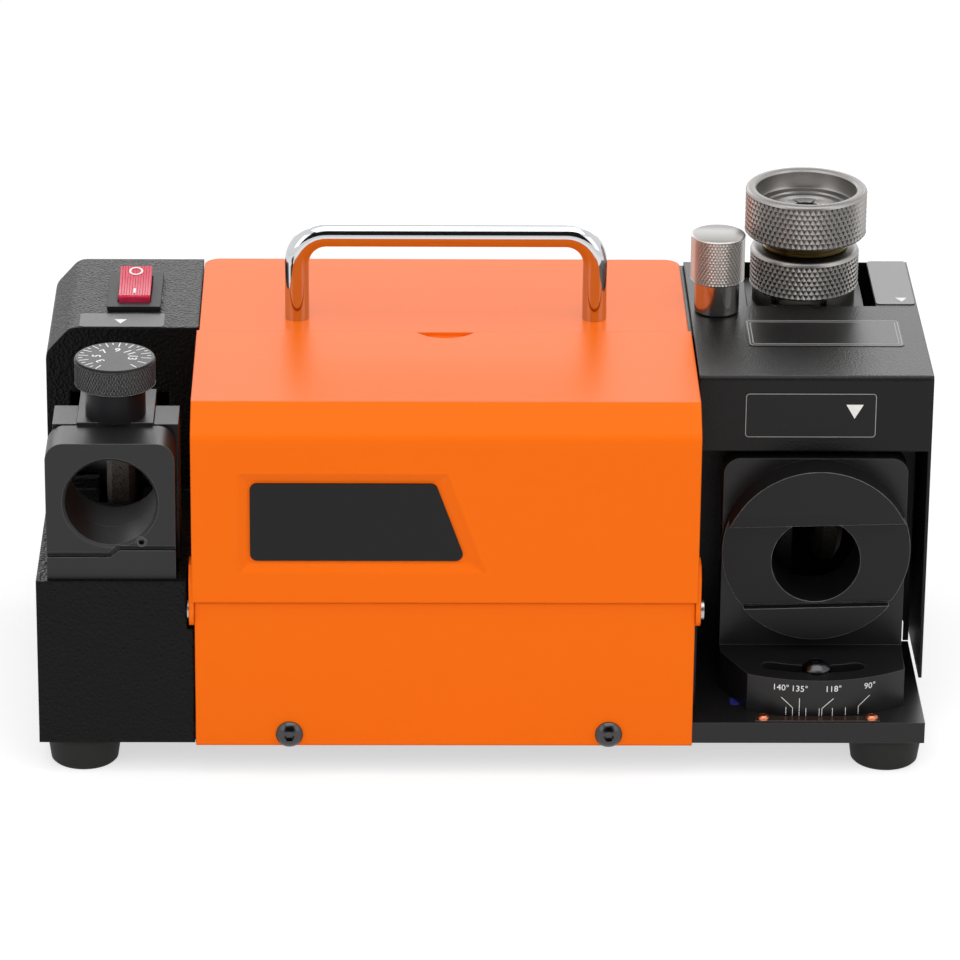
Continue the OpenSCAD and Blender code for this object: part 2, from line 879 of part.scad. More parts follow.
module wheel_nuts()
{
    nut_t = 8;
    color("#8a8a8a")
        stand()
            for (x = [left_wheel_x - wheel_t / 2 - thrust_t - nut_t,
                    right_wheel_x + wheel_t / 2 + thrust_t])
                hex_nut_x(18, nut_t, shaft_d + 2 * fit, x, shaft_y, shaft_z);
}

module motor_frame()
{
    color("#9b9da0")
        stand()
            difference() {
                union() {
                    rod_x(motor_d, motor_x0, motor_x1, shaft_y, shaft_z);
                    for (a = [30:20:150])
                        translate([motor_x0 + 4, shaft_y, shaft_z])
                            rotate([a, 0, 0])
                                translate([0, motor_d / 2 - 1, -0.8])
                                    cube([motor_l - 8, 3.5, 1.6]);
                }
                rod_x(motor_d - 2 * frame_t, motor_x0 - cut, motor_x1 + cut, shaft_y, shaft_z);
            }
}

module motor_end_bells()
{
    color("#a8aaad")
        stand()
            for (side = [-1, 1])
                translate([side < 0 ? motor_x0 : motor_x1, shaft_y, shaft_z])
                    rotate([0, side * 90, 0])
                        difference() {
                            rotate_extrude()
                                polygon([
                                    [0, -4], [bearing_d / 2 + 4, -4], [bearing_d / 2 + 4, 0],
                                    [motor_d / 2, 0], [motor_d / 2, 5], [motor_d / 2 - 4, bell_l - 2],
                                    [bearing_d / 2 + 5, bell_l], [0, bell_l]
                                ]);
                            translate([0, 0, -4 - cut])
                                cylinder(d = bearing_d + 2 * fit, h = bearing_t + 1 + cut);
                            translate([0, 0, -4 - cut])
                                cylinder(d = shaft_d + 2, h = bell_l + 6);
                            for (a = [0:60:300])
                                rotate([0, 0, a])
                                    translate([motor_d / 2 - 12, 0, -cut])
                                        cylinder(d = 9, h = bell_l + 2 * cut, $fn = 24);
                        }
}

module stator_core()
{
    slots = 12;
    color("#6b6b6e")
        stand()
            translate([centre_x - 25, shaft_y, shaft_z])
                rotate([0, 90, 0])
                    linear_extrude(50)
                        difference() {
                            circle(d = motor_d - 2 * frame_t - 2 * fit);
                            circle(d = 45);
                            for (i = [0:slots - 1])
                                rotate(i * 360 / slots)
                                    translate([24, -2.5])
                                        square([8, 5]);
                        }
}

module stator_windings()
{
    color("#b0662c")
        stand()
            for (x = [centre_x - 39.9, centre_x + 25.1])
                translate([x, shaft_y, shaft_z])
                    rotate([0, 90, 0])
                        rotate_extrude()
                            round_rect(25, 35.5, 0, 14.8, 3);
}

module rotor()
{
    color("#77777a")
        stand()
            difference() {
                rod_x(44, centre_x - 28, centre_x + 28, shaft_y, shaft_z);
                rod_x(shaft_d + 2 * fit, centre_x - 29, centre_x + 29, shaft_y, shaft_z);
            }
}

module motor_shaft()
{
    color("#b4b4b4")
        stand()
            rod_x(shaft_d, shaft_x0, shaft_x1, shaft_y, shaft_z);
}

module motor_bearings()
{
    color("#c0c0c0")
        stand()
            for (x = [motor_x0 - bearing_t + 4 - 1, motor_x1 - 4 + 1])
                difference() {
                    rod_x(bearing_d, x, x + bearing_t, shaft_y, shaft_z);
                    rod_x(shaft_d + 2 * fit, x - cut, x + bearing_t + cut, shaft_y, shaft_z);
                }
}

module cooling_fan()
{
    blades = 8;
    x0 = motor_x0 - bell_l - 10;
    color("#4a4a4c")
        stand()
            difference() {
                union() {
                    rod_x(22, x0, x0 + 8, shaft_y, shaft_z);
                    rod_x(56, x0, x0 + 1.5, shaft_y, shaft_z);
                    for (i = [0:blades - 1])
                        translate([x0 + 1, shaft_y, shaft_z])
                            rotate([i * 360 / blades, 0, 0])
                                translate([0, 8, -0.8])
                                    cube([7, 19, 1.6]);
                }
                rod_x(shaft_d + 2 * fit, x0 - cut, x0 + 9, shaft_y, shaft_z);
            }
}

module motor_cradle()
{
    color("#4c4c4e")
        stand()
            difference() {
                union() {
                    for (x = [motor_x0 + 14, motor_x1 - 22])
                        box(x, x + 8, shaft_y - 30, shaft_y + 30, plate_t, shaft_z - 22);
                    box(motor_x0 + 14, motor_x1 - 14, shaft_y - 30, shaft_y + 30,
                        plate_t, plate_t + 4);
                }
                rod_x(motor_d + 2 * fit, motor_x0, motor_x1, shaft_y, shaft_z);
            }
}

cap_y = shaft_y - 62;
cap_z = plate_t + 15.6;

module capacitor()
{
    color("#d8d8d4")
        stand()
            union() {
                rod_x(28, centre_x - 28, centre_x + 24, cap_y, cap_z);
                rod_x(24, centre_x + 24, centre_x + 26, cap_y, cap_z);
            }
}

module capacitor_clip()
{
    color("#7c7c7e")
        stand()
            difference() {
                union() {
                    rod_x(28 + 3, centre_x - 6, centre_x + 6, cap_y, cap_z);
                    box(centre_x - 6, centre_x + 6, cap_y - 22, cap_y + 12, plate_t, plate_t + 1.6);
                    box(centre_x - 6, centre_x + 6, cap_y - 4, cap_y + 4, plate_t, plate_t + 5);
                }
                rod_x(28 + 2 * fit, centre_x - 7, centre_x + 7, cap_y, cap_z);
                rod_z(4.2, plate_t - cut, plate_t + 3, centre_x, cap_y - 18);
            }
}

module right_bulkhead()
{
    x0 = right_x0 - bulkhead_t - 0.15;
    x1 = x0 + bulkhead_t;
    y1 = body_d - sheet_t - 0.2;
    top = body_h - sheet_t - 0.3;
    color("#262626")
        stand()
            difference() {
                union() {
                    along_x(x0, x1)
                        polygon([
                            [12, plate_t], [12, hinge_z - 8], [seam_y + 2, hinge_z - 8],
                            [seam_y + 2, top], [y1, top], [y1, plate_t]
                        ]);
                    box(x0 - 12, x1, seam_y + 6, body_d - 16, plate_t, plate_t + bulkhead_t);
                }
                rod_x(2 * shaft_d, x0 - cut, x1 + cut, shaft_y, shaft_z);
            }
}

module rear_cover()
{
    y0 = seam_y + gap;
    top = orange_z;
    color("#f2701c")
        stand()
            difference() {
                union() {
                    difference() {
                        along_z(plate_t + gap, top)
                            difference() {
                                round_rect(centre_x0, centre_x1, y0 - 20, body_d, 6);
                                translate([centre_x0 - cut, y0 - 21])
                                    square([centre_x1 - centre_x0 + 2 * cut, 21]);
                            }
                        along_z(-cut, top - sheet_t)
                            difference() {
                                round_rect(centre_x0 + sheet_t, centre_x1 - sheet_t,
                                    y0 - 20, body_d - sheet_t, 6 - sheet_t);
                                translate([centre_x0 - cut, y0 - 22])
                                    square([centre_x1 - centre_x0 + 2 * cut, 21]);
                            }
                        // side flanges end above the bulkheads' feet
                        box(centre_x0 - cut, centre_x1 + cut, y0 - cut, body_d - 14,
                            plate_t, top - 16);
                    }
                    // lowered ledge that the flap closes on
                    box(centre_x0 + 3, centre_x1 - 3, y0 - 9, y0 + 3, top - 2 * sheet_t, top - sheet_t);
                }
                // handle screws
                for (side = [-1, 1])
                    rod_z(5 + 2 * fit, top - sheet_t - cut, top + cut,
                        handle_x + side * handle_span / 2, handle_y);
                // cooling slots
                for (i = [-5:5], z = [shaft_z - 18, shaft_z + 10])
                    along_y(body_d - 3, body_d + cut)
                        round_rect(centre_x + i * 9 - 1.75, centre_x + i * 9 + 1.75, z, z + 20, 1.7);
            }
}

module front_panel()
{
    t = sheet_t;
    top = flap_z - 0.5;
    color("#f2701c")
        stand()
            difference() {
                union() {
                    box(centre_x0, centre_x1, panel_front, 0, -0.5, top);
                    box(centre_x0 + 8, centre_x1 - 8, panel_front, 9, top - t, top);
                    for (x = [centre_x0, centre_x1 - t])
                        box(x, x + t, panel_front, 11, plate_t + 0.3, top);
                }
                for (x = panel_screw_spots)
                    rod_y(5 + 2 * fit, panel_front - cut, cut, x, plate_t / 2);
                rod_x(4 + 2 * fit, centre_x0 - cut, centre_x1 + cut, hinge_y, hinge_z);
            }
}

module panel_screws()
{
    color("#3c3c3c")
        stand()
            for (x = panel_screw_spots)
                button_screw_y(x, panel_front, plate_t / 2, 5, screw_head_d, screw_head_h, 11);
}

function flap_path() = [
    [seam_y, flap_outer_z], [crease_y, flap_outer_z],
    [flap_front, flap_outer_z - (crease_y - flap_front) * 0.7], [flap_front, flap_z]
];
recess_z = flap_z + 11.5;
recess_x = flap_x0 + 16.5;

// Outline of the pressed recess, drawn d inside its edge
module recess_outline(d)
{
    slant = (recess_bottom_w - recess_top_w) / recess_h;
    polygon([
        [recess_x + d, recess_z + d],
        [recess_x + d, recess_z + recess_h - d],
        [recess_x + recess_top_w - d, recess_z + recess_h - d],
        [recess_x + recess_bottom_w - d * (1.4 + slant), recess_z + d]
    ]);
}

module front_flap()
{
    t = sheet_t;
    radii = [0, 1.8, 4, 0];
    ear_top = flap_z + 13;
    color("#f2701c")
        stand()
            difference() {
                union() {
                    along_x(flap_x0, flap_x1)
                        sheet_section(flap_path(), radii, t);
                    // side walls
                    for (x = [flap_x0, flap_x1 - flap_wall])
                        along_x(x, x + flap_wall)
                            polygon(concat(bent(flap_path(), radii),
                                [[hinge_y + 5.8, flap_z], [hinge_y + 5.8, ledge_h + 1.4],
                                [seam_y - 8, ledge_h + 1.4], [seam_y, ledge_h + 9.4]]));
                    // thicker ears round the hinge screws
                    for (x = [centre_x0 - ear_out, centre_x1 + flap_gap])
                        along_x(x, x + ear_out - flap_gap) {
                            translate([hinge_y, hinge_z])
                                circle(r = 5.7);
                            polygon([
                                [flap_front + 0.4, hinge_z], [flap_front + 0.4, ear_top - 5],
                                [flap_front + 4, ear_top], [hinge_y + 5.7, ear_top],
                                [hinge_y + 5.7, hinge_z]
                            ]);
                        }
                    // back of the pressed recess
                    along_y(flap_front + t - 0.1, flap_front + recess_deep + t)
                        recess_outline(0);
                }
                hull() {
                    along_y(flap_front - 0.1, flap_front)
                        recess_outline(0);
                    along_y(flap_front, flap_front + recess_deep)
                        recess_outline(3.6);
                }
                // finger notch in the top edge
                translate([centre_x + 0.5, seam_y + 5, flap_outer_z - 3])
                    cylinder(r = 12.3, h = 6, $fn = 96);
                rod_x(4 + 2 * fit, flap_x0 - ear_out, flap_x1 + ear_out, hinge_y, hinge_z);
            }
}

module flap_panel()
{
    color("#1c1c1c")
        stand()
            along_y(flap_front + recess_deep - 0.6, flap_front + recess_deep)
                recess_outline(4.2);
}

// Screws that carry the flap's ears, one at each side
module flap_screws()
{
    head_t = 1.2;
    nut_t = 3;
    color("#b8b8b8")
        stand()
            for (side = [-1, 1])
                translate([side < 0 ? centre_x0 : centre_x1, hinge_y, hinge_z])
                    rotate([0, side * 90, 0]) {
                        translate([0, 0, ear_out + slide_gap])
                            cylinder(d = 7, h = side < 0 ? head_t / 2 : head_t);
                        translate([0, 0, -sheet_t - nut_t])
                            cylinder(d = 4, h = ear_out + sheet_t + nut_t + 0.3);
                        translate([0, 0, -sheet_t - nut_t])
                            cylinder(d = 7, h = nut_t, $fn = 6);
                    }
}

module handle()
{
    bar_z = orange_z + handle_rise;
    color("#c9cacc")
        stand()
            for (side = [-1, 1])
                translate([handle_x, handle_y, 0])
                    mirror([side < 0 ? 1 : 0, 0, 0]) {
                        difference() {
                            rod_z(handle_d, orange_z, bar_z - handle_bend, handle_span / 2, 0);
                            rod_z(5 + 2 * fit, orange_z - cut, orange_z + 12, handle_span / 2, 0);
                        }
                        translate([handle_span / 2 - handle_bend, 0, bar_z - handle_bend])
                            rotate([90, 0, 0])
                                rotate_extrude(angle = 90)
                                    translate([handle_bend, 0])
                                        circle(d = handle_d);
                        rod_x(handle_d, 0, handle_span / 2 - handle_bend, 0, bar_z);
                    }
}

module handle_screws()
{
    under = orange_z - sheet_t;
    color("#8c8c8c")
        stand()
            for (side = [-1, 1]) {
                rod_z(5, under - 0.2, orange_z + 11.5, handle_x + side * handle_span / 2, handle_y);
                rod_z(9, under - 3, under, handle_x + side * handle_span / 2, handle_y);
            }
}

rack_z = flap_z + 4;
rack_y0 = 14;
rack_y1 = 52;
rack_pitch = 25;
rack_count = floor((centre_x1 - centre_x0 - 30) / rack_pitch);
function rack_x(i) = centre_x + (i - (rack_count - 1) / 2) * rack_pitch;

module collet_rack()
{
    x0 = centre_x0 + 2;
    x1 = centre_x1 - 2;
    color("#39393b")
        stand()
            difference() {
                union() {
                    box(x0, x1, rack_y0, rack_y1, rack_z, rack_z + 1.6);
                    for (x = [x0, x1 - 1.6])
                        box(x, x + 1.6, rack_y0, rack_y1, plate_t, rack_z + 0.1);
                    box(x0, x0 + 10, rack_y0, rack_y1, plate_t, plate_t + 1.6);
                    box(x1 - 10, x1, rack_y0, rack_y1, plate_t, plate_t + 1.6);
                }
                for (i = [0:rack_count - 1])
                    rod_z(19.4, rack_z - cut, rack_z + 3, rack_x(i), (rack_y0 + rack_y1) / 2);
            }
}

// Spare collets with bores from small to large, seated by their collars
module spare_collets()
{
    color("#b9b9b7")
        stand()
            for (i = [0:rack_count - 1])
                translate([rack_x(i), (rack_y0 + rack_y1) / 2, rack_z + 1.6 - 21.7 + fit])
                    rotate_extrude()
                        polygon([
                            [1.5 + i * 0.9, 0], [6.8, 0], [9.4, 20], [9.4, 21.7], [10.4, 21.7],
                            [10.4, 24], [8.2, 24.4], [8.2, 25.4], [10, 26.2], [10, 28],
                            [8.4, 31.5], [1.5 + i * 0.9, 31.5]
                        ]);
}

module right_cover()
{
    t = sheet_t;
    lip_y = 37;
    lip_z = body_h - 28.7;
    color("#2a2a2a")
        stand()
            difference() {
                union() {
                    along_x(right_x0, right_x1)
                        sheet_section([[body_d, 0.5], [body_d, body_h],
                            [lip_y, body_h], [lip_y, lip_z]], [0, 1.8, 1.8, 0], t);
                    along_x(right_x1 - t, right_x1)
                        polygon([[lip_y, plate_t + 0.8], [lip_y, body_h - 1], [lip_y + 1, body_h],
                            [body_d - 1, body_h], [body_d, body_h - 1], [body_d, plate_t + 0.8]]);
                }
                // opening round the chuck
                box(cutout_x0, cutout_x1, cutout_y, body_d - t - 0.1,
                    body_h - t - cut, body_h + cut);
                rod_z(stud_d + 0.4, body_h - 3, body_h + cut, knob_x, knob_y);
            }
}

module cover_knob()
{
    z1 = body_h + knob_neck_h;
    z2 = z1 + knob_h;
    r = knob_d / 2;
    color("#bfc0c0")
        stand()
            difference() {
                translate([knob_x, knob_y, 0])
                    rotate_extrude()
                        polygon([
                            [0, body_h + 0.1], [knob_neck_d / 2, body_h + 0.1],
                            [knob_neck_d / 2, z1], [r - 0.5, z1 + 0.5], [r, z1 + 1.4],
                            [r, z2 - 0.6], [r - 0.6, z2], [0, z2]
                        ]);
                rod_z(stud_d + 2 * fit, body_h - cut, z1 + 4, knob_x, knob_y);
            }
}

module knob_stud()
{
    color("#9a9a9a")
        stand()
            rod_z(stud_d, relief_block_z0 + 2, body_h + knob_neck_h + 3, knob_x, knob_y);
}

// Sheet between the point angle station and the wheel
module wheel_guard()
{
    t = sheet_t;
    x0 = right_x0 + 0.6;
    x1 = right_x1 - 2.4;
    color("#222222")
        stand()
            difference() {
                union() {
                    along_y(guard_y, guard_y + t)
                        difference() {
                            round_rect(x0, x1, plate_t - 12, cover_in - 1, 12);
                            translate([x0 - cut, plate_t - 40])
                                square([x1 - x0 + 2 * cut, 40]);
                        }
                    box(x0, x0 + 26, guard_y, guard_y + 14, plate_t, plate_t + t);
                }
                box(right_wheel_x - wheel_t / 2 - 9, right_wheel_x + wheel_t / 2 + 9,
                    guard_y - cut, guard_y + t + cut, 36, shaft_z + 34);
                box(right_port_x - tongue_w / 2 - 6, right_port_x + tongue_w / 2 + 6,
                    guard_y - cut, guard_y + t + 12, plate_t - cut, block_z1 + 3);
                // open below on the right, beside the swivelling block
                along_y(guard_y - cut, guard_y + t + cut)
                    round_rect(right_port_x, x1 - 2, plate_t - 6, plate_t + 12, 3);
                box(x1 - 6, x1 + cut, guard_y - cut, guard_y + t + cut, plate_t - cut, plate_t + 2.4);
            }
}

// Swivelling block with the scale arc, the curved slot and the upright plate
module angle_bracket()
{
    half = upright_w / 2;
    off = upright_x - right_port_x;
    slot_more = 2.3;
    color("#2b2b2c")
        stand()
            difference() {
                union() {
                    along_z(block_z0, block_z1)
                        translate([right_port_x, pivot_y]) {
                            intersection() {
                                circle(r = scale_r, $fn = 128);
                                polygon([
                                    [off - half, upright_y - pivot_y + 2],
                                    [off - half, upright_y - pivot_y - 6],
                                    [-24.8, -scale_r + 5.6], [-24.8, -scale_r - 5],
                                    [off + half - 1, -scale_r - 5],
                                    [off + half, upright_y - pivot_y + 2]
                                ]);
                            }
                            translate([off - half, upright_y - pivot_y])
                                square([2 * half, upright_t]);
                            translate([-tongue_w / 2, upright_y - pivot_y])
                                square([tongue_w, pivot_y - upright_y]);
                            circle(d = tongue_w);
                        }
                    along_y(upright_y, upright_y + upright_t)
                        difference() {
                            round_rect(upright_x - half, upright_x + half,
                                block_z1 - 14, upright_z, 6);
                            translate([upright_x - half - cut, 0])
                                square([2 * half + 2 * cut, block_z1 - 0.5]);
                        }
                }
                rod_y(hub_d + 2 * fit, upright_y - cut, upright_y + upright_t + cut,
                    right_port_x, point_z);
                rod_z(pin_d + 2 * fit, plate_t - cut, block_z1 + cut, right_port_x, pivot_y);
                // curved slot for the lock screw
                translate([right_port_x, pivot_y, block_z0 - cut]) {
                    rotate([0, 0, 270 - slot_half - slot_more])
                        rotate_extrude(angle = 2 * slot_half + slot_more, $fn = 96)
                            translate([slot_r - slot_w / 2, 0])
                                square([slot_w, block_h + 2 * cut]);
                    for (a = [-slot_half - slot_more, slot_half])
                        rotate([0, 0, a])
                            translate([0, -slot_r, 0])
                                cylinder(d = slot_w, h = block_h + 2 * cut);
                }
            }
}

// The channel lies across the disc, with its lower part set back and a narrow
// groove along the channel's lower side
module guide_disc()
{
    wide = 2 * disc_d;
    floor_y = disc_y0 + channel_deep;
    low_y = floor_y - lip_proud;
    half = channel_w / 2;
    slope = 5.5;
    color("#333333")
        stand()
            difference() {
                union() {
                    rod_y(disc_d, disc_y0, upright_y, right_port_x, disc_z, $fn = 96);
                    rod_y(hub_d, upright_y - 0.5, hub_back, right_port_x, point_z);
                }
                translate([right_port_x, 0, point_z])
                    rotate([0, -1.5, 0])
                        along_x(-wide, wide)
                            polygon([
                                [disc_y0 - cut, -wide], [low_y, -wide], [low_y, -half - 1],
                                [floor_y + 1.2, -half - 1], [floor_y + 1.2, -half],
                                [floor_y, -half], [floor_y, half], [disc_y0 + 1.5, half],
                                [disc_y0, half + slope], [disc_y0 - cut, half + slope]
                            ]);
                rod_y(port_d, disc_y0 - cut, hub_back + cut, right_port_x, point_z, $fn = 96);
            }
}

module swivel_pin()
{
    color("#a4a4a4")
        stand()
            difference() {
                union() {
                    rod_z(pin_d, 0.5, block_z1 + 0.6, right_port_x, pivot_y);
                    rod_z(14, block_z1 + 0.5, block_z1 + 2.5, right_port_x, pivot_y);
                }
                rod_z(4, block_z1 + 1, block_z1 + 4, right_port_x, pivot_y, $fn = 6);
            }
}

module angle_lock_screw()
{
    color("#3a3a3a")
        stand()
            pan_screw_z(right_port_x, pivot_y - slot_r, block_z1 + slide_gap, lock_screw_d,
                10.5, 3.2, block_h + plate_t - 1);
}

module index_strip()
{
    color("#4a3a34")
        stand()
            difference() {
                box(right_port_x - 22.5, right_port_x + 22.5, 0.6, 4.7, plate_t, plate_t + 0.6);
                for (x = index_screw_spots)
                    rod_z(2.5 + 2 * fit, plate_t - cut, plate_t + cut, x, 2.6);
            }
}

module index_screws()
{
    color("#b8694a")
        stand()
            for (x = index_screw_spots)
                pan_screw_z(x, 2.6, plate_t + 0.6, 2.5, 4.6, 1.5, 4);
}

module relief_block()
{
    x0 = right_x0 - 0.15;
    x1 = relief_x + bush_d / 2 + 3;
    y0 = relief_y - bush_d / 2 - 3;
    y1 = relief_y + bush_d / 2 + 3;
    color("#3a3a3c")
        stand()
            difference() {
                union() {
                    along_z(relief_block_z0, relief_block_z1) {
                        round_rect(relief_x - bush_d / 2 - 3, x1, y0, y1, 4);
                        translate([x0, y0 + 4])
                            square([30, y1 - y0 - 8]);
                        translate([x0, knob_y - 9])
                            square([20, 40]);
                    }
                    rod_z(12, relief_block_z1 - 0.1, cover_in, knob_x, knob_y);
                    // foot against the bulkhead
                    box(x0, x0 + 5, knob_y - 9, y1 - 4, relief_block_z0 - 14, relief_block_z0 + 1);
                }
                rod_z(bush_d + 2 * fit, relief_block_z0 - cut, relief_block_z1 + cut,
                    relief_x, relief_y);
                rod_z(stud_d + 2 * fit, relief_block_z0 - cut, cover_in + cut, knob_x, knob_y);
            }
}

// Fixed bush of the relief port; its notches stop the chuck's two keys
module relief_bush()
{
    color("#4a4a4a")
        stand()
            difference() {
                rod_z(bush_d, relief_block_z0, bush_top, relief_x, relief_y);
                rod_z(port_d, relief_block_z0 - cut, bush_top + cut, relief_x, relief_y, $fn = 96);
                for (a = [-125, -75, 55, 105])
                    translate([relief_x, relief_y, bush_top - 3])
                        rotate([0, 0, a])
                            translate([port_d / 2 - cut, -2.6, 0])
                                cube([8, 5.2, 5]);
            }
}

module chuck_ring()
{
    z1 = ring_z1;
    r = ring_d / 2;
    color("#7d7775")
        stand()
            translate([relief_x, relief_y, 0])
                rotate_extrude($fn = 72)
                    polygon([
                        [barrel_low_d / 2 + fit, relief_block_z0 + 1],
                        [spigot_d / 2 - 0.8, relief_block_z0 + 1],
                        [spigot_d / 2, relief_block_z0 + 1.8], [spigot_d / 2, ring_z0],
                        [r - 0.8, ring_z0], [r, ring_z0 + 0.8], [r, z1 - 2], [r - 2, z1],
                        [barrel_low_d / 2 + fit, z1]
                    ]);
}

module chuck_barrel()
{
    low = relief_block_z0 + 0.6;
    top = nut_z0 + 8.4;
    thread_r = barrel_d / 2;
    color("#5d5952")
        stand()
            translate([relief_x, relief_y, 0])
                rotate_extrude($fn = 72)
                    polygon(concat(
                        [
                            [collet_bore / 2 + 1.2, low], [barrel_low_d / 2 - 1, low],
                            [barrel_low_d / 2, low + 1], [barrel_low_d / 2, ring_z1 + slide_gap]
                        ],
                        // thread ridges between ring and nut
                        [for (i = [0:8]) [thread_r - (i % 2 == 0 ? 0.7 : 0),
                            ring_z1 + slide_gap + (i + 0.01) * (thread_show - slide_gap) / 8.5]],
                        [
                            [thread_r - 0.7, top], [10.6, top], [9.1, top - 22],
                            [collet_bore / 2 + 1.2, top - 22.2]
                        ]
                    ));
}

// Collet seated in the barrel's taper, under the nut's web
module chuck_collet()
{
    top = nut_z0 + 8.4;
    color("#b9b9b7")
        stand()
            translate([relief_x, relief_y, 0])
                difference() {
                    rotate_extrude()
                        polygon([
                            [collet_bore / 2, top - 22], [9, top - 22], [10.5, top],
                            [9.4, top + 1.6], [collet_bore / 2, top + 1.6]
                        ]);
                    for (a = [0, 60, 120])
                        rotate([0, 0, a])
                            translate([-12, -0.4, top - 17])
                                cube([24, 0.8, 27]);
                }
}

module chuck_nut()
{
    r = nut_d / 2;
    web_z = nut_z0 + 8.5;
    color("#7d7775")
        stand()
            translate([relief_x, relief_y, 0])
                rotate_extrude($fn = 72)
                    polygon([
                        [barrel_d / 2 + fit, nut_z0], [r - 1.2, nut_z0], [r, nut_z0 + 1.2],
                        [r, nut_z1 - 0.6], [r - 0.6, nut_z1], [r - 3.4, nut_z1], [r - 4, nut_z1 - 0.8],
                        [r - 4, web_z + 2.4], [12, web_z + 1.4], [10.7, web_z], [barrel_d / 2 + fit, web_z]
                    ]);
}

base_plate();
rubber_feet();
foot_screws();
left_housing();
housing_screws();
switch_bezel();
switch_rocker();
web_base();
web_base_screws();
web_block();
web_bar();
bar_dowels();
web_set_screw();
web_dial();
dial_spindle();
scroll_pin();
left_wheel();
right_wheel();
wheel_flanges();
wheel_nuts();
motor_frame();
motor_end_bells();
stator_core();
stator_windings();
rotor();
motor_shaft();
motor_bearings();
cooling_fan();
motor_cradle();
capacitor();
capacitor_clip();
right_bulkhead();
rear_cover();
front_panel();
panel_screws();
front_flap();
flap_panel();
flap_screws();
handle();
handle_screws();
collet_rack();
spare_collets();
right_cover();
cover_knob();
knob_stud();
wheel_guard();
cord_gland();
angle_bracket();
guide_disc();
swivel_pin();
angle_lock_screw();
index_strip();
index_screws();
relief_block();
relief_bush();
chuck_ring();
chuck_barrel();
chuck_collet();
chuck_nut();
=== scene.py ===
"""Bench drill bit sharpener: finishes, knurling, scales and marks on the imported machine."""
import math

import bmesh
import bpy
from bpy.props import FloatProperty, FloatVectorProperty, PointerProperty
from mathutils import Matrix, Vector


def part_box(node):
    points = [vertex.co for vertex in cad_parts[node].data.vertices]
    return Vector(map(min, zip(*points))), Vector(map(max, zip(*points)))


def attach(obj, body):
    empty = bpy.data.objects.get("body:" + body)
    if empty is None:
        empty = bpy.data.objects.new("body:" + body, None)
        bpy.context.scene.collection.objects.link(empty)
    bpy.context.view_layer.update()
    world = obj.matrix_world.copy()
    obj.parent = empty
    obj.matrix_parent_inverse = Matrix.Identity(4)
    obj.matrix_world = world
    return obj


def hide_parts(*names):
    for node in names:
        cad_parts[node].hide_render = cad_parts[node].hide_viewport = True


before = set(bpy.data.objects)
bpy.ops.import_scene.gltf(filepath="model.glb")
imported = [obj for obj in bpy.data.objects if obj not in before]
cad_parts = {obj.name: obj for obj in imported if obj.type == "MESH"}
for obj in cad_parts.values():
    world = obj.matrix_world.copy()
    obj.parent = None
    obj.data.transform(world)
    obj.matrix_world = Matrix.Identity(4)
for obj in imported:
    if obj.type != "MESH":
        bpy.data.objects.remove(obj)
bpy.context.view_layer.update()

bl_info = {
    "name": "Drill bit sharpener finishes",
    "version": (1, 0, 0),
    "blender": (4, 5, 0),
    "location": "View3D > Sidebar > Sharpener",
    "description": "Finishes, knurling, scales and marks for a bench drill bit sharpener",
    "category": "Object",
}

MM = 0.001
# The machine is laid out from the front of its base plate and the plate's underside
FRONT_TO_MIDDLE = 80.05
FOOT_HEIGHT = 12.5
PLATE_TOP = 8.0
# Left, low, right and high edges of the flap's film, and how far its right edge leans in
FLAP_FILM = (-83.95, 71.7, -7.58, 101.3)
FLAP_FILM_SLANT = 10.77
# Height of a knurl's diamond over its width
DIAMOND_STRETCH = 0.85


def at(x, y, z):
    """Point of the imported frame, in metres, from millimetres on the machine."""
    return Vector((x, y - FRONT_TO_MIDDLE, z + FOOT_HEIGHT)) * MM


def turned_box(node):
    """Axis of a turned CAD node, then its low end, high end and radius in mm on the machine."""
    low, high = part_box(node)
    axis = (low + high) / 2
    return axis, low.z / MM - FOOT_HEIGHT, high.z / MM - FOOT_HEIGHT, (high.x - axis.x) / MM


def linear(hex_colour):
    """Linear RGBA of an sRGB hex colour such as "#f26b12"."""
    channels = [int(hex_colour[i:i + 2], 16) / 255 for i in (1, 3, 5)]
    return (
        *(c / 12.92 if c <= 0.04045 else ((c + 0.055) / 1.055) ** 2.4 for c in channels),
        1.0,
    )


def colour(label, text, hex_colour):
    """Colour property with its default given as an sRGB hex value."""
    return FloatVectorProperty(
        name=label, description=text, subtype="COLOR", size=4, min=0, max=1,
        default=linear(hex_colour),
    )


def length(label, text, millimetres, low, high):
    """Length property with its default and limits given in millimetres."""
    return FloatProperty(
        name=label, description=text, subtype="DISTANCE", unit="LENGTH",
        default=millimetres * MM, min=low * MM, max=high * MM,
    )


def power(label, text, watts):
    """Power property of a lamp, with its default in watts."""
    return FloatProperty(
        name=label, description=text, unit="POWER", default=watts, min=0, max=100,
    )


# ---------------------------------------------------------------- settings

class SharpenerColours(bpy.types.PropertyGroup):
    """Colours of the painted, moulded and printed surfaces."""

    cover_orange: colour("Cover", "Powder coat of the hood, flap and lower panel", "#f36c0b")
    body_black: colour("Body", "Crinkle coat of the cast housing", "#0d0d0d")
    sheet_black: colour("Sheet", "Textured coat of the bent covers", "#0e0e0e")
    plate_black: colour("Base plate", "Enamel of the base plate and the swivel block", "#161617")
    anodised: colour("Anodising", "Black anodised guide disc and relief block", "#141415")
    blackened: colour("Blackening", "Blackened steel of the web station", "#2a2a2b")
    rocker_red: colour("Rocker", "Translucent rocker of the switch", "#c9103a")
    ink_white: colour("Ink", "Printed marks and numbers", "#f1f1ee")


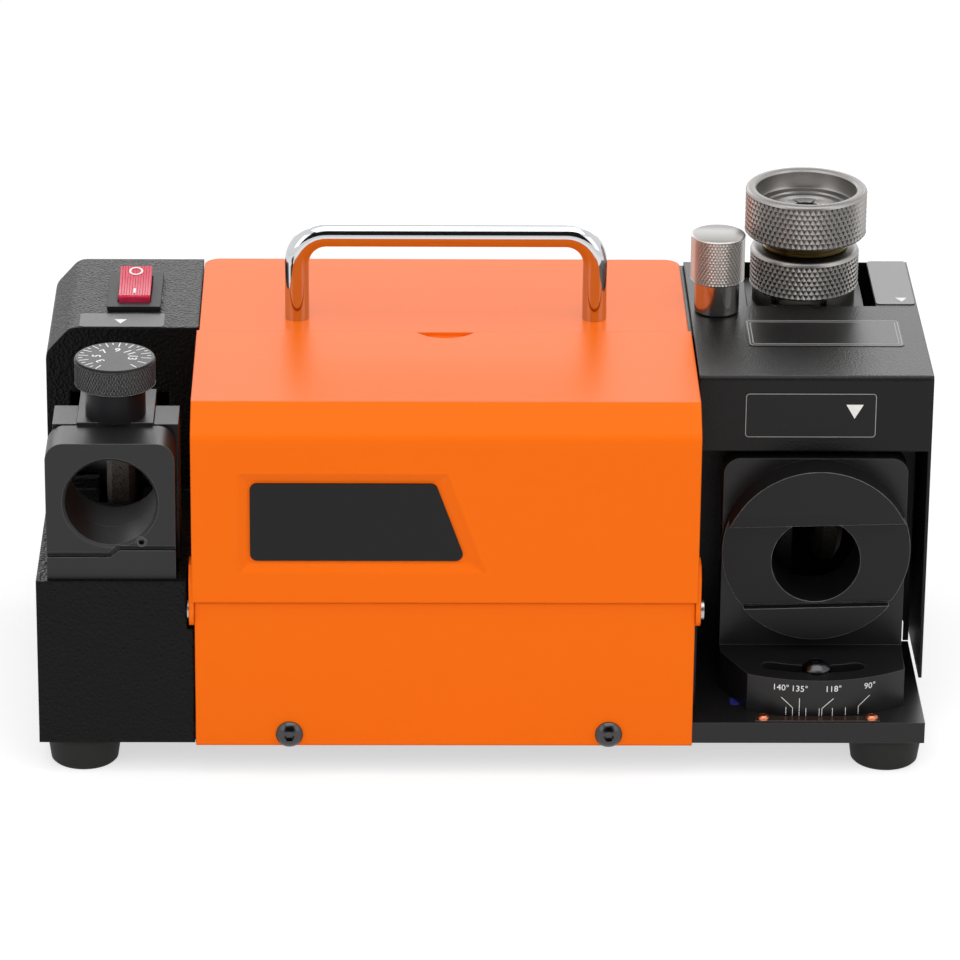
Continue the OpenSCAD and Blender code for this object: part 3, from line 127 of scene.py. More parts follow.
class SharpenerKnurls(bpy.types.PropertyGroup):
    """Pitch and depth of the knurled grips."""

    chuck_pitch: length("Chuck pitch", "Width of one diamond on the chuck", 2.15, 1, 3)
    chuck_depth: length("Chuck depth", "Depth of the chuck's knurl", 0.72, 0.1, 0.9)
    knob_pitch: length("Knob pitch", "Width of one diamond on the cover knob", 1.35, 0.6, 2)
    knob_depth: length("Knob depth", "Depth of the cover knob's knurl", 0.55, 0.1, 0.7)
    dial_pitch: length("Dial pitch", "Width of one diamond on the web dial", 1.2, 0.6, 2)
    dial_depth: length("Dial depth", "Depth of the web dial's knurl", 0.42, 0.1, 0.6)


class SharpenerMarks(bpy.types.PropertyGroup):
    """Sizes of the printed marks."""

    ink_height: length("Ink", "Height that a printed mark stands proud", 0.04, 0.02, 0.2)
    tick_width: length("Tick", "Width of a tick on the angle scale", 0.22, 0.15, 0.6)
    number_height: length("Number", "Height of a number on the angle scale", 2.35, 2, 5)
    dial_number: length("Dial number", "Height of a number on the web dial", 3.3, 1.5, 4)


class SharpenerStage(bpy.types.PropertyGroup):
    """Camera and lamps."""

    lens: FloatProperty(
        name="Lens", description="Focal length on a 36 mm wide sensor", subtype="DISTANCE_CAMERA",
        unit="CAMERA", default=207.64, min=50, max=400,
    )
    rear: power("Rear", "Power of the softbox behind the machine", 26.0)
    overhead: power("Overhead", "Power of the softbox above the machine", 10.3)
    front: power("Front", "Power of the soft fill in front of the machine", 16.0)
    ambient: FloatProperty(
        name="Ambient", description="Strength of the world's light", subtype="FACTOR",
        default=0.5, min=0, max=2,
    )


# ---------------------------------------------------------------- materials

def add(tree, kind, inputs=(), **attributes):
    """Add one node, set its attributes, and fill or link its inputs."""
    node = tree.nodes.new(kind)
    for name, value in attributes.items():
        setattr(node, name, value)
    for socket, value in dict(inputs).items():
        if isinstance(value, bpy.types.NodeSocket):
            tree.links.new(value, node.inputs[socket])
        else:
            node.inputs[socket].default_value = value
    return node


def empty_material(name):
    """Material with no nodes, and its tree."""
    material = bpy.data.materials.new(name)
    material.use_nodes = True
    material.node_tree.nodes.clear()
    return material, material.node_tree


def start_material(name, base, **sockets):
    """Material with one Principled shader; keyword names stand for socket names."""
    material, tree = empty_material(name)
    shader = add(tree, "ShaderNodeBsdfPrincipled", {"Base Color": base})
    for socket, value in sockets.items():
        shader.inputs[socket.replace("_", " ")].default_value = value
    out = add(tree, "ShaderNodeOutputMaterial", {"Surface": shader.outputs[0]})
    out.target = "ALL"
    material.diffuse_color = base
    return material, tree, shader


def object_space(tree, stretch=(1, 1, 1)):
    """Object coordinates in millimetres, so that a texture's scale is one over its grain."""
    place = add(tree, "ShaderNodeTexCoord")
    return add(
        tree, "ShaderNodeVectorMath",
        {0: place.outputs["Object"], 1: tuple(s / MM for s in stretch)}, operation="MULTIPLY",
    ).outputs[0]


def lumps(tree, grain, detail=2.0, stretch=(1, 1, 1)):
    """Noise from 0 to 1 whose lumps are a grain in millimetres across."""
    return add(tree, "ShaderNodeTexNoise", {
        "Vector": object_space(tree, stretch), "Scale": 1 / grain, "Detail": detail}).outputs[0]


def rounded_edges(tree, radius):
    """Normal that shades sharp edges as if they were broken by this radius in millimetres."""
    return add(tree, "ShaderNodeBevel", {"Radius": radius * MM}, samples=4).outputs[0]


def bright_edges(tree, normal, low=0.02, high=0.2):
    """Mask from 0 on a face to 1 on a broken edge."""
    face = add(tree, "ShaderNodeNewGeometry").outputs["Normal"]
    along = add(tree, "ShaderNodeVectorMath", {0: face, 1: normal}, operation="DOT_PRODUCT")
    turn = add(tree, "ShaderNodeMath", {0: 1.0, 1: along.outputs["Value"]}, operation="SUBTRACT")
    return add(
        tree, "ShaderNodeMapRange",
        {"Value": turn.outputs[0], "From Min": low, "From Max": high},
    ).outputs[0]


def seen_directly(tree):
    """1 for rays from the camera or through a reflection or refraction, 0 for light."""
    rays = add(tree, "ShaderNodeLightPath")
    seen = add(tree, "ShaderNodeMath", {
        0: rays.outputs["Is Camera Ray"], 1: rays.outputs["Is Glossy Ray"]}, operation="MAXIMUM")
    return add(tree, "ShaderNodeMath", {
        0: seen.outputs[0], 1: rays.outputs["Is Transmission Ray"]},
        operation="MAXIMUM").outputs[0]


def facing_up(tree):
    """Mask from 0 on walls to 1 on level faces that look up."""
    face = add(tree, "ShaderNodeNewGeometry").outputs["Normal"]
    height = add(tree, "ShaderNodeSeparateXYZ", {0: face}).outputs["Z"]
    return add(tree, "ShaderNodeMapRange", {
        "Value": height, "From Min": 0.6, "From Max": 0.97}).outputs[0]


def spread(tree, factor, low, high):
    """Map a factor from 0..1 to low..high."""
    return add(
        tree, "ShaderNodeMapRange", {"Value": factor, "To Min": low, "To Max": high}
    ).outputs[0]


def tint(tree, shader, factor, first, second):
    """Colour the shader by two colours, mixed by a factor."""
    mix = add(tree, "ShaderNodeMix", data_type="RGBA")
    # sockets 6 and 7 are the two colours, and output 2 is their mix
    tree.links.new(factor, mix.inputs[0])
    mix.inputs[6].default_value = first
    mix.inputs[7].default_value = second
    tree.links.new(mix.outputs[2], shader.inputs["Base Color"])


def wander(tree, shader, factor, roughness, by):
    """Let the roughness wander by this much either way."""
    tree.links.new(
        spread(tree, factor, roughness - by, roughness + by), shader.inputs["Roughness"])


def raise_surface(tree, shader, height, strength, depth, normal=None):
    """Raise the surface by a height pattern, depth in millimetres, over an earlier normal."""
    inputs = {"Height": height, "Strength": strength, "Distance": depth * MM}
    if normal is not None:
        inputs["Normal"] = normal
    bump = add(tree, "ShaderNodeBump", inputs)
    tree.links.new(bump.outputs[0], shader.inputs["Normal"])
    return bump.outputs[0]


def coated(name, base, level, roughness, radius, grain, strength, depth):
    """Paint with lumps of a grain in millimetres, whose sharp edges shade as if broken.

    level is the specular level: a matted coat scatters most of what a clear one mirrors.
    """
    material, tree, shader = start_material(name, base, Roughness=roughness, IOR=1.5)
    shader.inputs["Specular IOR Level"].default_value = level
    skin = lumps(tree, grain)
    normal = rounded_edges(tree, radius)
    bump = raise_surface(tree, shader, skin, strength, depth, normal)
    wander(tree, shader, skin, roughness, 0.05)
    return material, tree, shader, normal, bump


def edge_wear_and_highlight(tree, shader, normal, base, worn_and_lit_colour, amount):
    """Paint a lighter colour along broken edges: worn metal showing through the coat, and a painted
    highlight.
    """
    worn_and_lit_edge = add(tree, "ShaderNodeMath", {0: bright_edges(tree, normal), 1: amount},
                operation="MULTIPLY")
    tint(tree, shader, worn_and_lit_edge.outputs[0], base, worn_and_lit_colour)


def cover_powder_coat():
    """Polyester powder coat, sprayed and baked: even colour, soft gloss, faint orange peel."""
    base = bpy.context.scene.sharpener_colours.cover_orange
    # the orange peel is fine, with lumps 1.4 mm across
    return coated("orange_polyester_powder_coat", base, 0.075, 0.34, 1.0, 1.4, 0.14, 0.05)[0]


def crinkle_coat():
    """Crinkle-finish powder coat on a casting: wrinkles about 1 mm apart hide the metal."""
    base = bpy.context.scene.sharpener_colours.body_black
    material, tree, shader, _, bump = coated(
        "black_crinkle_powder_coat", base, 0.12, 0.36, 1.6, 0.9, 0.6, 0.3)
    cells = add(
        tree, "ShaderNodeTexVoronoi",
        {"Vector": object_space(tree), "Scale": 0.85, "Smoothness": 0.4}, feature="SMOOTH_F1")
    raise_surface(tree, shader, cells.outputs["Distance"], 0.75, 0.5, bump)
    return material


def cover_texture_coat():
    """Fine-texture powder coat on bent sheet: a close pebbled skin with a soft sheen."""
    base = bpy.context.scene.sharpener_colours.sheet_black
    return coated("black_fine_texture_powder_coat", base, 0.22, 0.36, 0.9, 0.9, 0.7, 0.2)[0]


def plate_enamel():
    """Sprayed semi-gloss enamel on ground plate: smooth, with a lighter grey on its sharp corners,
    partly worn metal and partly painted highlight.
    """
    base = bpy.context.scene.sharpener_colours.plate_black
    material, tree, shader, normal, _ = coated(
        "black_sprayed_enamel", base, 0.34, 0.34, 0.35, 2.5, 0.1, 0.08)
    # lighter grey on broken edges: worn metal and painted highlight
    edge_wear_and_highlight(tree, shader, normal, base, linear("#7c7c7c"), 0.35)
    return material


def anodised_aluminium():
    """Milled aluminium, black anodised: dark and even, with a light grey painted highlight on its
    broken edges, where worn aluminium also shows.
    """
    base = bpy.context.scene.sharpener_colours.anodised
    material, tree, shader, normal, _ = coated(
        "black_anodised_aluminium", base, 0.25, 0.4, 0.3, 1.2, 0.06, 0.03)
    # light grey on broken edges: worn aluminium and painted highlight
    edge_wear_and_highlight(tree, shader, normal, base, linear("#cfcfcf"), 0.75)
    return material


def blackened_steel():
    """Milled steel under a thin black oxide: greyer than anodising, with a soft metal sheen."""
    base = bpy.context.scene.sharpener_colours.blackened
    material, tree, shader, normal, _ = coated(
        "black_oxide_milled_steel", base, 0.5, 0.42, 0.35, 1.0, 0.08, 0.04)
    shader.inputs["Metallic"].default_value = 0.5
    # light grey on broken edges: worn steel and painted highlight
    edge_wear_and_highlight(tree, shader, normal, base, linear("#a5a5a5"), 0.5)
    return material


def black_oxide_steel():
    """Turned steel with a black oxide finish: a dark, slightly oily metal."""
    base = linear("#242426")
    material, tree, shader, normal, _ = coated(
        "black_oxide_turned_steel", base, 0.14, 0.36, 0.2, 1.1, 0.05, 0.03)
    shader.inputs["Metallic"].default_value = 0.4
    # light grey on broken edges: worn steel and painted highlight
    edge_wear_and_highlight(tree, shader, normal, base, linear("#b8b8b8"), 0.7)
    return material


def metal(name, hex_colour, roughness, spread_by, grain, edge_radius=0.2, stretch=(1, 1, 1),
          shaded_top=None):
    """Bare or plated metal whose roughness wanders over a grain given in millimetres.

    A darker colour, if given, is painted as shade on level ends that look up,
    because they mirror the rear softbox to the camera and the plain colour shines too bright there.
    """
    material, tree, shader = start_material(
        name, linear(hex_colour), Roughness=roughness, Metallic=1.0)
    skin = lumps(tree, grain, 3.0, stretch)
    raise_surface(tree, shader, skin, 0.1, 0.02, rounded_edges(tree, edge_radius))
    wander(tree, shader, skin, roughness, spread_by)
    if shaded_top:
        # painted shade: level ends that look up get the darker colour
        tint(tree, shader, facing_up(tree), linear(hex_colour), linear(shaded_top))
    return material


def moulded(name, hex_colour, roughness, grain=0.8, depth=0.02, **sockets):
    """Moulded plastic or rubber with the fine texture of its mould."""
    material, tree, shader = start_material(
        name, linear(hex_colour), Roughness=roughness, IOR=1.5, **sockets)
    skin = lumps(tree, grain, 3.0)
    raise_surface(tree, shader, skin, 0.3, depth, rounded_edges(tree, 0.4))
    wander(tree, shader, skin, roughness, 0.06)
    return material


def bonded_abrasive():
    """Dark diamond grit plated on a steel rim: sparkling grains about half a millimetre across."""
    material, tree, shader = start_material(
        "plated_diamond_grit", linear("#4a4743"), Roughness=0.5, Metallic=0.5)
    grit = add(tree, "ShaderNodeTexVoronoi", {"Vector": object_space(tree), "Scale": 1.8})
    grains = grit.outputs["Distance"]
    tint(tree, shader, grains, linear("#6f6a63"), linear("#2c2a28"))
    raise_surface(tree, shader, grains, 0.6, 0.15, rounded_edges(tree, 0.4))
    return material


def laminated_steel():
    """Stack of pressed electrical sheets: fine lines across the shaft, blued by heat."""
    material, tree, shader = start_material(
        "laminated_electrical_steel", linear("#6b6c70"), Roughness=0.45, Metallic=0.9)
    # real sheets are 0.5 mm thick and are drawn 2.4 mm apart so that they show
    lines = add(
        tree, "ShaderNodeTexWave",
        {"Vector": object_space(tree), "Scale": 1 / 7.5, "Distortion": 0.4}, bands_direction="X")
    raise_surface(tree, shader, lines.outputs["Fac"], 0.5, 0.1)
    tint(tree, shader, lines.outputs["Fac"], linear("#54565b"), linear("#7e7f83"))
    return material


def enamelled_windings():
    """Enamelled copper wire under varnish: glossy strands that lie along the coil."""
    material, tree, shader = start_material(
        "enamelled_copper_wire", linear("#a4541f"), Roughness=0.25, Metallic=0.85)
    strands = add(tree, "ShaderNodeTexWave", {
        "Vector": object_space(tree), "Scale": 1 / 6, "Distortion": 1.5, "Detail": 2.0},
        bands_direction="X", wave_type="BANDS")
    raise_surface(tree, shader, strands.outputs["Fac"], 0.8, 0.4)
    tint(tree, shader, strands.outputs["Fac"], linear("#6b3312"), linear("#c47334"))
    return material


def rocker_polycarbonate():
    """Translucent red polycarbonate: light that enters it gives the ribs a soft glow."""
    base = bpy.context.scene.sharpener_colours.rocker_red
    material, tree, shader = start_material(
        "red_translucent_polycarbonate", base, Roughness=0.22, IOR=1.58,
        Specular_IOR_Level=0.25, Subsurface_Weight=0.25, Subsurface_Scale=1.0,
        Subsurface_Radius=(0.002, 0.0004, 0.0004))
    tint(tree, shader, lumps(tree, 2.5), base, linear("#d03c5c"))
    return material


def marking_ink(name="white_screen_printing_ink", hex_colour=None):
    """Screen-printing ink: a thin, flat, slightly uneven film, white if no colour is given."""
    base = linear(hex_colour) if hex_colour else bpy.context.scene.sharpener_colours.ink_white
    material, tree, shader = start_material(name, base, Roughness=0.55, IOR=1.5)
    thin = tuple(c * 0.82 for c in base[:3]) + (1.0,)
    tint(tree, shader, lumps(tree, 1 / 3), thin, base)
    return material


FINISHES = {}


def finish(name):
    """The named finish, made on first use."""
    makers = {
        "cover": cover_powder_coat,
        "crinkle": crinkle_coat,
        "sheet": cover_texture_coat,
        "enamel": plate_enamel,
        "anodised": anodised_aluminium,
        "blackened": blackened_steel,
        "oxide": black_oxide_steel,
        "grit": bonded_abrasive,
        "laminations": laminated_steel,
        "windings": enamelled_windings,
        "rocker": rocker_polycarbonate,
        "ink": marking_ink,
        "zinc": lambda: metal("zinc_plated_steel", "#b4b6b8", 0.32, 0.08, 1.2),
        "button": lambda: metal("oiled_black_screw_steel", "#4c4c4e", 0.22, 0.05, 0.8),
        "chrome": lambda: metal("bright_chrome_plate", "#d0d2d4", 0.07, 0.02, 8.0),
        # the level top of the knob carries painted shade, a darker colour
        "nickel": lambda: metal(
            "satin_nickel_plate", "#c9c5c1", 0.33, 0.05, 0.6, 0.12, shaded_top="#6e6c6a"),
        "polished": lambda: metal("polished_nickel_plate", "#bab6b1", 0.2, 0.03, 2.0, 0.12),
        # the level ends of the phosphated pieces carry painted shade, a darker colour
        "phosphate": lambda: metal(
            "grey_phosphated_steel", "#a5a29f", 0.38, 0.06, 0.5, 0.15, shaded_top="#5e5c5b"),
        "brassy": lambda: metal("heat_tinted_thread_steel", "#7d6f4c", 0.3, 0.06, 0.5, 0.15),
        "ground": lambda: metal(
            "ground_tool_steel", "#c2c2c1", 0.24, 0.06, 0.7, 0.15, (0.2, 1, 1)),
        "die_cast": lambda: metal("die_cast_aluminium", "#b3b3b4", 0.5, 0.08, 0.7, 0.5),
        "copper": lambda: metal("copper_plated_steel", "#c77a5c", 0.33, 0.06, 0.8, 0.15),
        "rubber": lambda: moulded(
            "moulded_black_rubber", "#1f1f1e", 0.72, 0.7, 0.05, Specular_IOR_Level=0.3),
        "nylon": lambda: moulded(
            "moulded_black_nylon", "#1d1d1e", 0.45, 0.5, 0.02, Specular_IOR_Level=0.12),
        "can": lambda: moulded("moulded_pale_polypropylene", "#d8d7d2", 0.4),
        "matt_film": lambda: moulded(
            "matt_black_film", "#121213", 0.5, 0.5, 0.02, Specular_IOR_Level=0.25),
        "gloss_film": lambda: moulded(
            "glossy_black_polyester_film", "#0d0d0e", 0.3, 1.5, 0.01, Specular_IOR_Level=0.25),
        "faint": lambda: marking_ink("grey_screen_printing_ink", "#9d9d9c"),
        "label": lambda: moulded("grey_brushed_foil", "#3f4042", 0.36, 0.8, 0.01),
        "dab": lambda: moulded("blue_marking_paint", "#2b2d86", 0.45, 0.8, 0.03),
        "clear": lambda: moulded("smoked_acrylic", "#2c221d", 0.2, 1.5, 0.01),
    }
    if name not in FINISHES:
        FINISHES[name] = makers[name]()
    return FINISHES[name]


def coat(name, *nodes):
    """Give CAD nodes a finish."""
    for node in nodes:
        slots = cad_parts[node].data.materials
        if not slots:
            slots.append(None)
        for index in range(len(slots)):
            slots[index] = finish(name)


# ---------------------------------------------------------------- meshes

def piece(name, vertices, faces, finish_name, body, smooth=30):
    """Mesh object that rides on a body; edges above smooth, in degrees, stay sharp."""
    mesh = bpy.data.meshes.new(name)
    mesh.from_pydata([tuple(v) for v in vertices], [], [tuple(f) for f in faces])
    return own(name, mesh, finish_name, body, smooth)


def own(name, mesh, finish_name, body, smooth=30):
    """Object of a ready mesh, with its finish, body and material slot."""
    mesh.validate()
    mesh.materials.clear()
    mesh.materials.append(finish(finish_name))
    if smooth:
        mesh.shade_smooth()
        mesh.set_sharp_from_angle(angle=math.radians(smooth))
    made = bpy.data.objects.new(name, mesh)
    bpy.context.scene.collection.objects.link(made)
    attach(made, body)
    return made


def diamond_columns(radius, pitch):
    """Columns of points round a radius in mm for diamonds of this pitch, two to a diamond."""
    return 2 * round(math.pi * radius * MM * 2 / pitch)


def turned(name, centre, profile, columns, finish_name, body, knurls=(), smooth=30):
    """Lathe-turned piece with diamond knurling.

    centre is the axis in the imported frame; profile is a closed list of (radius, height) in mm
    from the machine's datum; knurls lists (low, high, depth) in mm, and cuts each band on
    every vertical stretch of the profile that spans it, a bore's wall included.
    """
    rings = []
    for (r0, z0), (r1, z1) in zip(profile, profile[1:] + profile[:1]):
        rings.append((r0, z0, 0.0, 0))
        for low, high, depth in knurls:
            if abs(r0 - r1) < 1e-6 and min(z0, z1) <= low and high <= max(z0, z1):
                pitch = 2 * math.pi * r0 / (columns / 2)
                rows = max(2, round((high - low) / (pitch * DIAMOND_STRETCH)))
                steps = [low + (high - low) * i / rows for i in range(rows + 1)]
                if z1 < z0:
                    steps.reverse()
                rings += [(r0, z, depth, i % 2 + 1) for i, z in enumerate(steps)]
    vertices = []
    for r, z, depth, phase in rings:
        for i in range(columns):
            turn = 2 * math.pi * i / columns
            cut = depth if phase and (i + phase) % 2 else 0.0
            vertices.append((
                centre.x + (r - cut) * MM * math.cos(turn),
                centre.y + (r - cut) * MM * math.sin(turn),
                (z + FOOT_HEIGHT) * MM,
            ))
    faces = []
    count = len(rings)
    for k in range(count):
        for i in range(columns):
            j = (i + 1) % columns
            low, high = k * columns, ((k + 1) % count) * columns
            a, b, c, d = low + i, low + j, high + j, high + i
            if rings[k][3] and rings[(k + 1) % count][3]:
                # pyramids: split each cell along the groove between its two valleys
                if (i + rings[k][3]) % 2:
                    faces += [(a, b, c), (a, c, d)]
                else:
                    faces += [(a, b, d), (b, c, d)]
            else:
                faces.append((a, b, c, d))
    made = piece(name, vertices, faces, finish_name, body, smooth)
    tidy = bmesh.new()
    tidy.from_mesh(made.data)
    bmesh.ops.remove_doubles(tidy, verts=tidy.verts, dist=1e-6)
    bmesh.ops.recalc_face_normals(tidy, faces=tidy.faces)
    tidy.to_mesh(made.data)
    tidy.free()
    return made


def extruded(name, outline, place, height, finish_name, body, slot, smooth=30):
    """Closed outline in mm, raised by height in mm, set down by the matrix place."""
    count = len(outline)
    vertices = [place @ Vector((x * MM, y * MM, 0)) for x, y in outline]
    vertices += [place @ Vector((x * MM, y * MM, height * MM)) for x, y in outline]
    faces = [list(range(count))[::-1], [count + i for i in range(count)]]
    faces += [(i, (i + 1) % count, count + (i + 1) % count, count + i) for i in range(count)]
    return piece(name, vertices, faces, finish_name, body, smooth)


def lying(centre, turn=0.0):
    """Placement on a horizontal face: outline X to the right, outline Y to the rear."""
    return Matrix.Translation(centre) @ Matrix.Rotation(turn, 4, "Z")


def standing(centre, turn=0.0):
    """Placement on a face that looks to the front: outline X to the right, outline Y up."""
    return (
        Matrix.Translation(centre) @ Matrix.Rotation(turn, 4, "Z")
        @ Matrix.Rotation(math.radians(90), 4, "X")
    )


def joined(name, parts):
    """Join pieces of one finish and body into one object."""
    first = parts[0]
    merged = bmesh.new()
    for part in parts:
        merged.from_mesh(part.data)
    merged.to_mesh(first.data)
    merged.free()
    for part in parts[1:]:
        bpy.data.objects.remove(part)
    first.name = name
    first.data.name = name
    return first


def number(text, place, height, body, name, weight=0.0):
    """Plain printed number, centred on its place; height and added weight in metres."""
    curve = bpy.data.curves.new(name, "FONT")
    curve.body = text
    curve.align_x = "CENTER"
    curve.align_y = "CENTER"
    curve.size = height * 1.4
    curve.offset = weight
    curve.extrude = bpy.context.scene.sharpener_marks.ink_height / 2
    curve.resolution_u = 3
    stand_in = bpy.data.objects.new(name, curve)
    bpy.context.scene.collection.objects.link(stand_in)
    bpy.context.view_layer.update()
    mesh = bpy.data.meshes.new_from_object(stand_in)
    bpy.data.objects.remove(stand_in)
    bpy.data.curves.remove(curve)
    mesh.transform(place)
    return own(name, mesh, "ink", body, 0)


def strip(start, end, width):
    """Outline in mm of a straight stroke."""
    (x0, y0), (x1, y1) = start, end
    run = math.hypot(x1 - x0, y1 - y0)
    nx, ny = -(y1 - y0) / run * width / 2, (x1 - x0) / run * width / 2
    return [(x0 + nx, y0 + ny), (x0 - nx, y0 - ny), (x1 - nx, y1 - ny), (x1 + nx, y1 + ny)]


def rounded(width, depth, radius, steps=6):
    """Outline in mm of a rectangle with round corners, centred."""
    points = []
    for cx, cy, start in ((1, 1, 0), (-1, 1, 90), (-1, -1, 180), (1, -1, 270)):
        for i in range(steps + 1):
            turn = math.radians(start + 90 * i / steps)
            points.append((
                cx * (width / 2 - radius) + radius * math.cos(turn),
                cy * (depth / 2 - radius) + radius * math.sin(turn),
            ))
    return points


def soft_corners(points, radius, steps=5):
    """Outline in mm with each corner of a convex outline rounded."""
    rounded_points = []
    count = len(points)
    for i, corner in enumerate(points):
        here = Vector(corner)
        before = (Vector(points[i - 1]) - here).normalized()
        after = (Vector(points[(i + 1) % count]) - here).normalized()
        half = before.angle(after) / 2
        centre = here + (before + after).normalized() * radius / math.sin(half)
        start = here + before * radius / math.tan(half) - centre
        end = here + after * radius / math.tan(half) - centre
        for k in range(steps + 1):
            spoke = start.lerp(end, k / steps)
            rounded_points.append(tuple(centre + spoke.normalized() * radius))
    return rounded_points


def pierced(name, outer, inner, place, height, finish_name, body, slot):
    """Closed outline in mm with a hole of as many points, raised by height in mm."""
    count = len(outer)
    vertices = [
        place @ (Vector((x, y, z)) * MM) for z in (0, height) for x, y in outer + inner]
    faces = []
    for i in range(count):
        j = (i + 1) % count
        faces += [
            (i, j, count + j, count + i),
            (2 * count + i, 3 * count + i, 3 * count + j, 2 * count + j),
            (i, 2 * count + i, 2 * count + j, j),
            (count + i, count + j, 3 * count + j, 3 * count + i),
        ]
    return piece(name, vertices, faces, finish_name, body, 30)


def outline_frame(name, width, depth, radius, line, place, height, finish_name, body, slot):
    """Printed line round a rectangle with round corners, sizes in mm."""
    return pierced(
        name, rounded(width, depth, radius),
        rounded(width - 2 * line, depth - 2 * line, radius - line), place, height, finish_name,
        body, slot)


def flat_panel(name, corners, material):
    """Object of one face, with its corners in metres."""
    mesh = bpy.data.meshes.new(name)
    mesh.from_pydata(corners, [], [(0, 1, 2, 3)])
    mesh.materials.append(material)
    panel = bpy.data.objects.new(name, mesh)
    bpy.context.scene.collection.objects.link(panel)
    return panel


# ---------------------------------------------------------------- operators

class SHARPENER_OT_covers(bpy.types.Operator):
    """Coat the covers, the housing, the base plate and what is fixed to them"""

    bl_idname = "sharpener.covers"
    bl_label = "Covers and housing"

    def execute(self, context):
        coat("cover", "rear_cover", "front_panel", "front_flap")
        coat("crinkle", "left_housing")
        coat("sheet", "right_cover", "right_bulkhead", "wheel_guard", "motor_cradle", "collet_rack")
        coat("enamel", "base_plate", "angle_bracket")
        coat("rubber", "rubber_feet")
        coat("nylon", "cord_gland")
        coat("chrome", "handle")
        # the film in the flap's recess has corners as round as the recess
        left, low, right, high = FLAP_FILM
        outline = soft_corners(
            [(left, low), (right, low), (right - FLAP_FILM_SLANT, high), (left, high)], 2.5)
        film = extruded(
            "flap_film", outline, standing(at(0, -0.5, 0)), 0.6, "matt_film", "flap",
            "panel_black")
        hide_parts("flap_panel")
        return {"FINISHED"}


class SHARPENER_OT_guides(bpy.types.Operator):
    """Finish the guide blocks of the three stations"""

    bl_idname = "sharpener.guides"
    bl_label = "Guide pieces"

    def execute(self, context):
        coat("anodised", "guide_disc", "relief_block")
        coat("blackened", "web_base", "web_block", "web_bar")
        coat("phosphate", "relief_bush")
        coat("clear", "index_strip")
        coat("copper", "index_screws")
        return {"FINISHED"}


class SHARPENER_OT_fasteners(bpy.types.Operator):
    """Finish the screws, pins, nuts and small plated pieces"""

    bl_idname = "sharpener.fasteners"
    bl_label = "Fasteners"

    def execute(self, context):
        coat("button", "panel_screws", "web_set_screw", "angle_lock_screw", "web_base_screws")
        coat("zinc", "foot_screws", "housing_screws", "bar_dowels", "scroll_pin", "flap_screws",
             "handle_screws", "knob_stud", "swivel_pin", "wheel_nuts", "wheel_flanges",
             "capacitor_clip")
        return {"FINISHED"}


class SHARPENER_OT_motor(bpy.types.Operator):
    """Finish the motor, the wheels, the collets and the spindle of the dial"""

    bl_idname = "sharpener.motor"
    bl_label = "Motor and wheels"

    def execute(self, context):
        coat("die_cast", "motor_frame", "motor_end_bells")
        coat("laminations", "stator_core", "rotor")
        coat("windings", "stator_windings")
        coat("ground", "motor_shaft", "motor_bearings", "dial_spindle", "spare_collets",
             "chuck_collet")
        coat("grit", "left_wheel", "right_wheel")
        coat("nylon", "cooling_fan")
        coat("can", "capacitor")
        return {"FINISHED"}


class SHARPENER_OT_chuck(bpy.types.Operator):
    """Turn the knurled nut and ring of the collet chuck"""

    bl_idname = "sharpener.chuck"
    bl_label = "Collet chuck"

    def execute(self, context):
        knurls = context.scene.sharpener_knurls
        depth = knurls.chuck_depth / MM
        coat("brassy", "chuck_barrel")
        axis, low, high, r = turned_box("chuck_nut")
        bore = 15.9
        web = low + 8.5
        profile = [
            (bore, low), (r - 1.6, low), (r - 0.7, low + 0.35), (r, low + 1.2),
            (r, high - 1.5), (r - 0.25, high - 0.8), (r - 0.9, high - 0.2), (r - 1.7, high),
            (r - 2.7, high), (r - 3.4, high - 0.3), (r - 3.9, high - 1.0), (r - 4.0, web + 3.2),
            (r - 4.5, web + 2.3), (15.4, web + 2.0), (15.1, web + 1.4), (13.4, web + 1.2),
            (13.1, web + 1.7), (12.0, web + 1.6), (11.6, web + 0.9), (10.7, web), (bore, web),
        ]
        nut = turned(
            "chuck_nut_turned", axis, profile, diamond_columns(r, knurls.chuck_pitch),
            "phosphate", "chuck_nut", [(low + 1.2, high - 1.5, depth)])
        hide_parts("chuck_nut")
        axis, low, high, r = turned_box("chuck_ring")
        seat = 128.1
        spigot = 16.05
        bore = 13.05
        profile = [
            (bore, low), (spigot - 0.8, low), (spigot, low + 0.8), (spigot, seat),
            (r - 0.9, seat), (r, seat + 0.9), (r, high - 1.9), (r - 0.4, high - 0.9),
            (r - 1.1, high - 0.3), (r - 2.2, high), (bore, high),
        ]
        ring = turned(
            "chuck_ring_turned", axis, profile, diamond_columns(r, knurls.chuck_pitch),
            "phosphate", "chuck_ring", [(seat + 0.9, high - 1.9, depth)])
        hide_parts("chuck_ring")
        return {"FINISHED"}


class SHARPENER_OT_cover_knob(bpy.types.Operator):
    """Turn the knurled knob that holds the right cover, on its polished neck"""

    bl_idname = "sharpener.cover_knob"
    bl_label = "Cover knob"

    def execute(self, context):
        knurls = context.scene.sharpener_knurls
        axis, low, high, r = turned_box("cover_knob")
        neck = 8.2
        shoulder = high - 17.9
        bore = 3.05
        head = [
            (bore, shoulder), (r - 0.7, shoulder), (r, shoulder + 0.6), (r, high - 0.7),
            (r - 0.25, high - 0.3), (r - 0.8, high), (0, high), (0, shoulder + 4),
            (bore, shoulder + 4),
        ]
        knob = turned(
            "cover_knob_head", axis, head, diamond_columns(r, knurls.knob_pitch), "nickel",
            "cover_knob", [(shoulder + 0.6, high - 0.7, knurls.knob_depth / MM)])
        stem = [
            (bore, low), (neck - 0.5, low), (neck, low + 0.5), (neck, shoulder - 0.01),
            (bore, shoulder - 0.01),
        ]
        polished = turned(
            "cover_knob_neck", axis, stem, 96, "polished", "cover_knob")
        for made in (knob, polished):
            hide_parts("cover_knob")
        return {"FINISHED"}


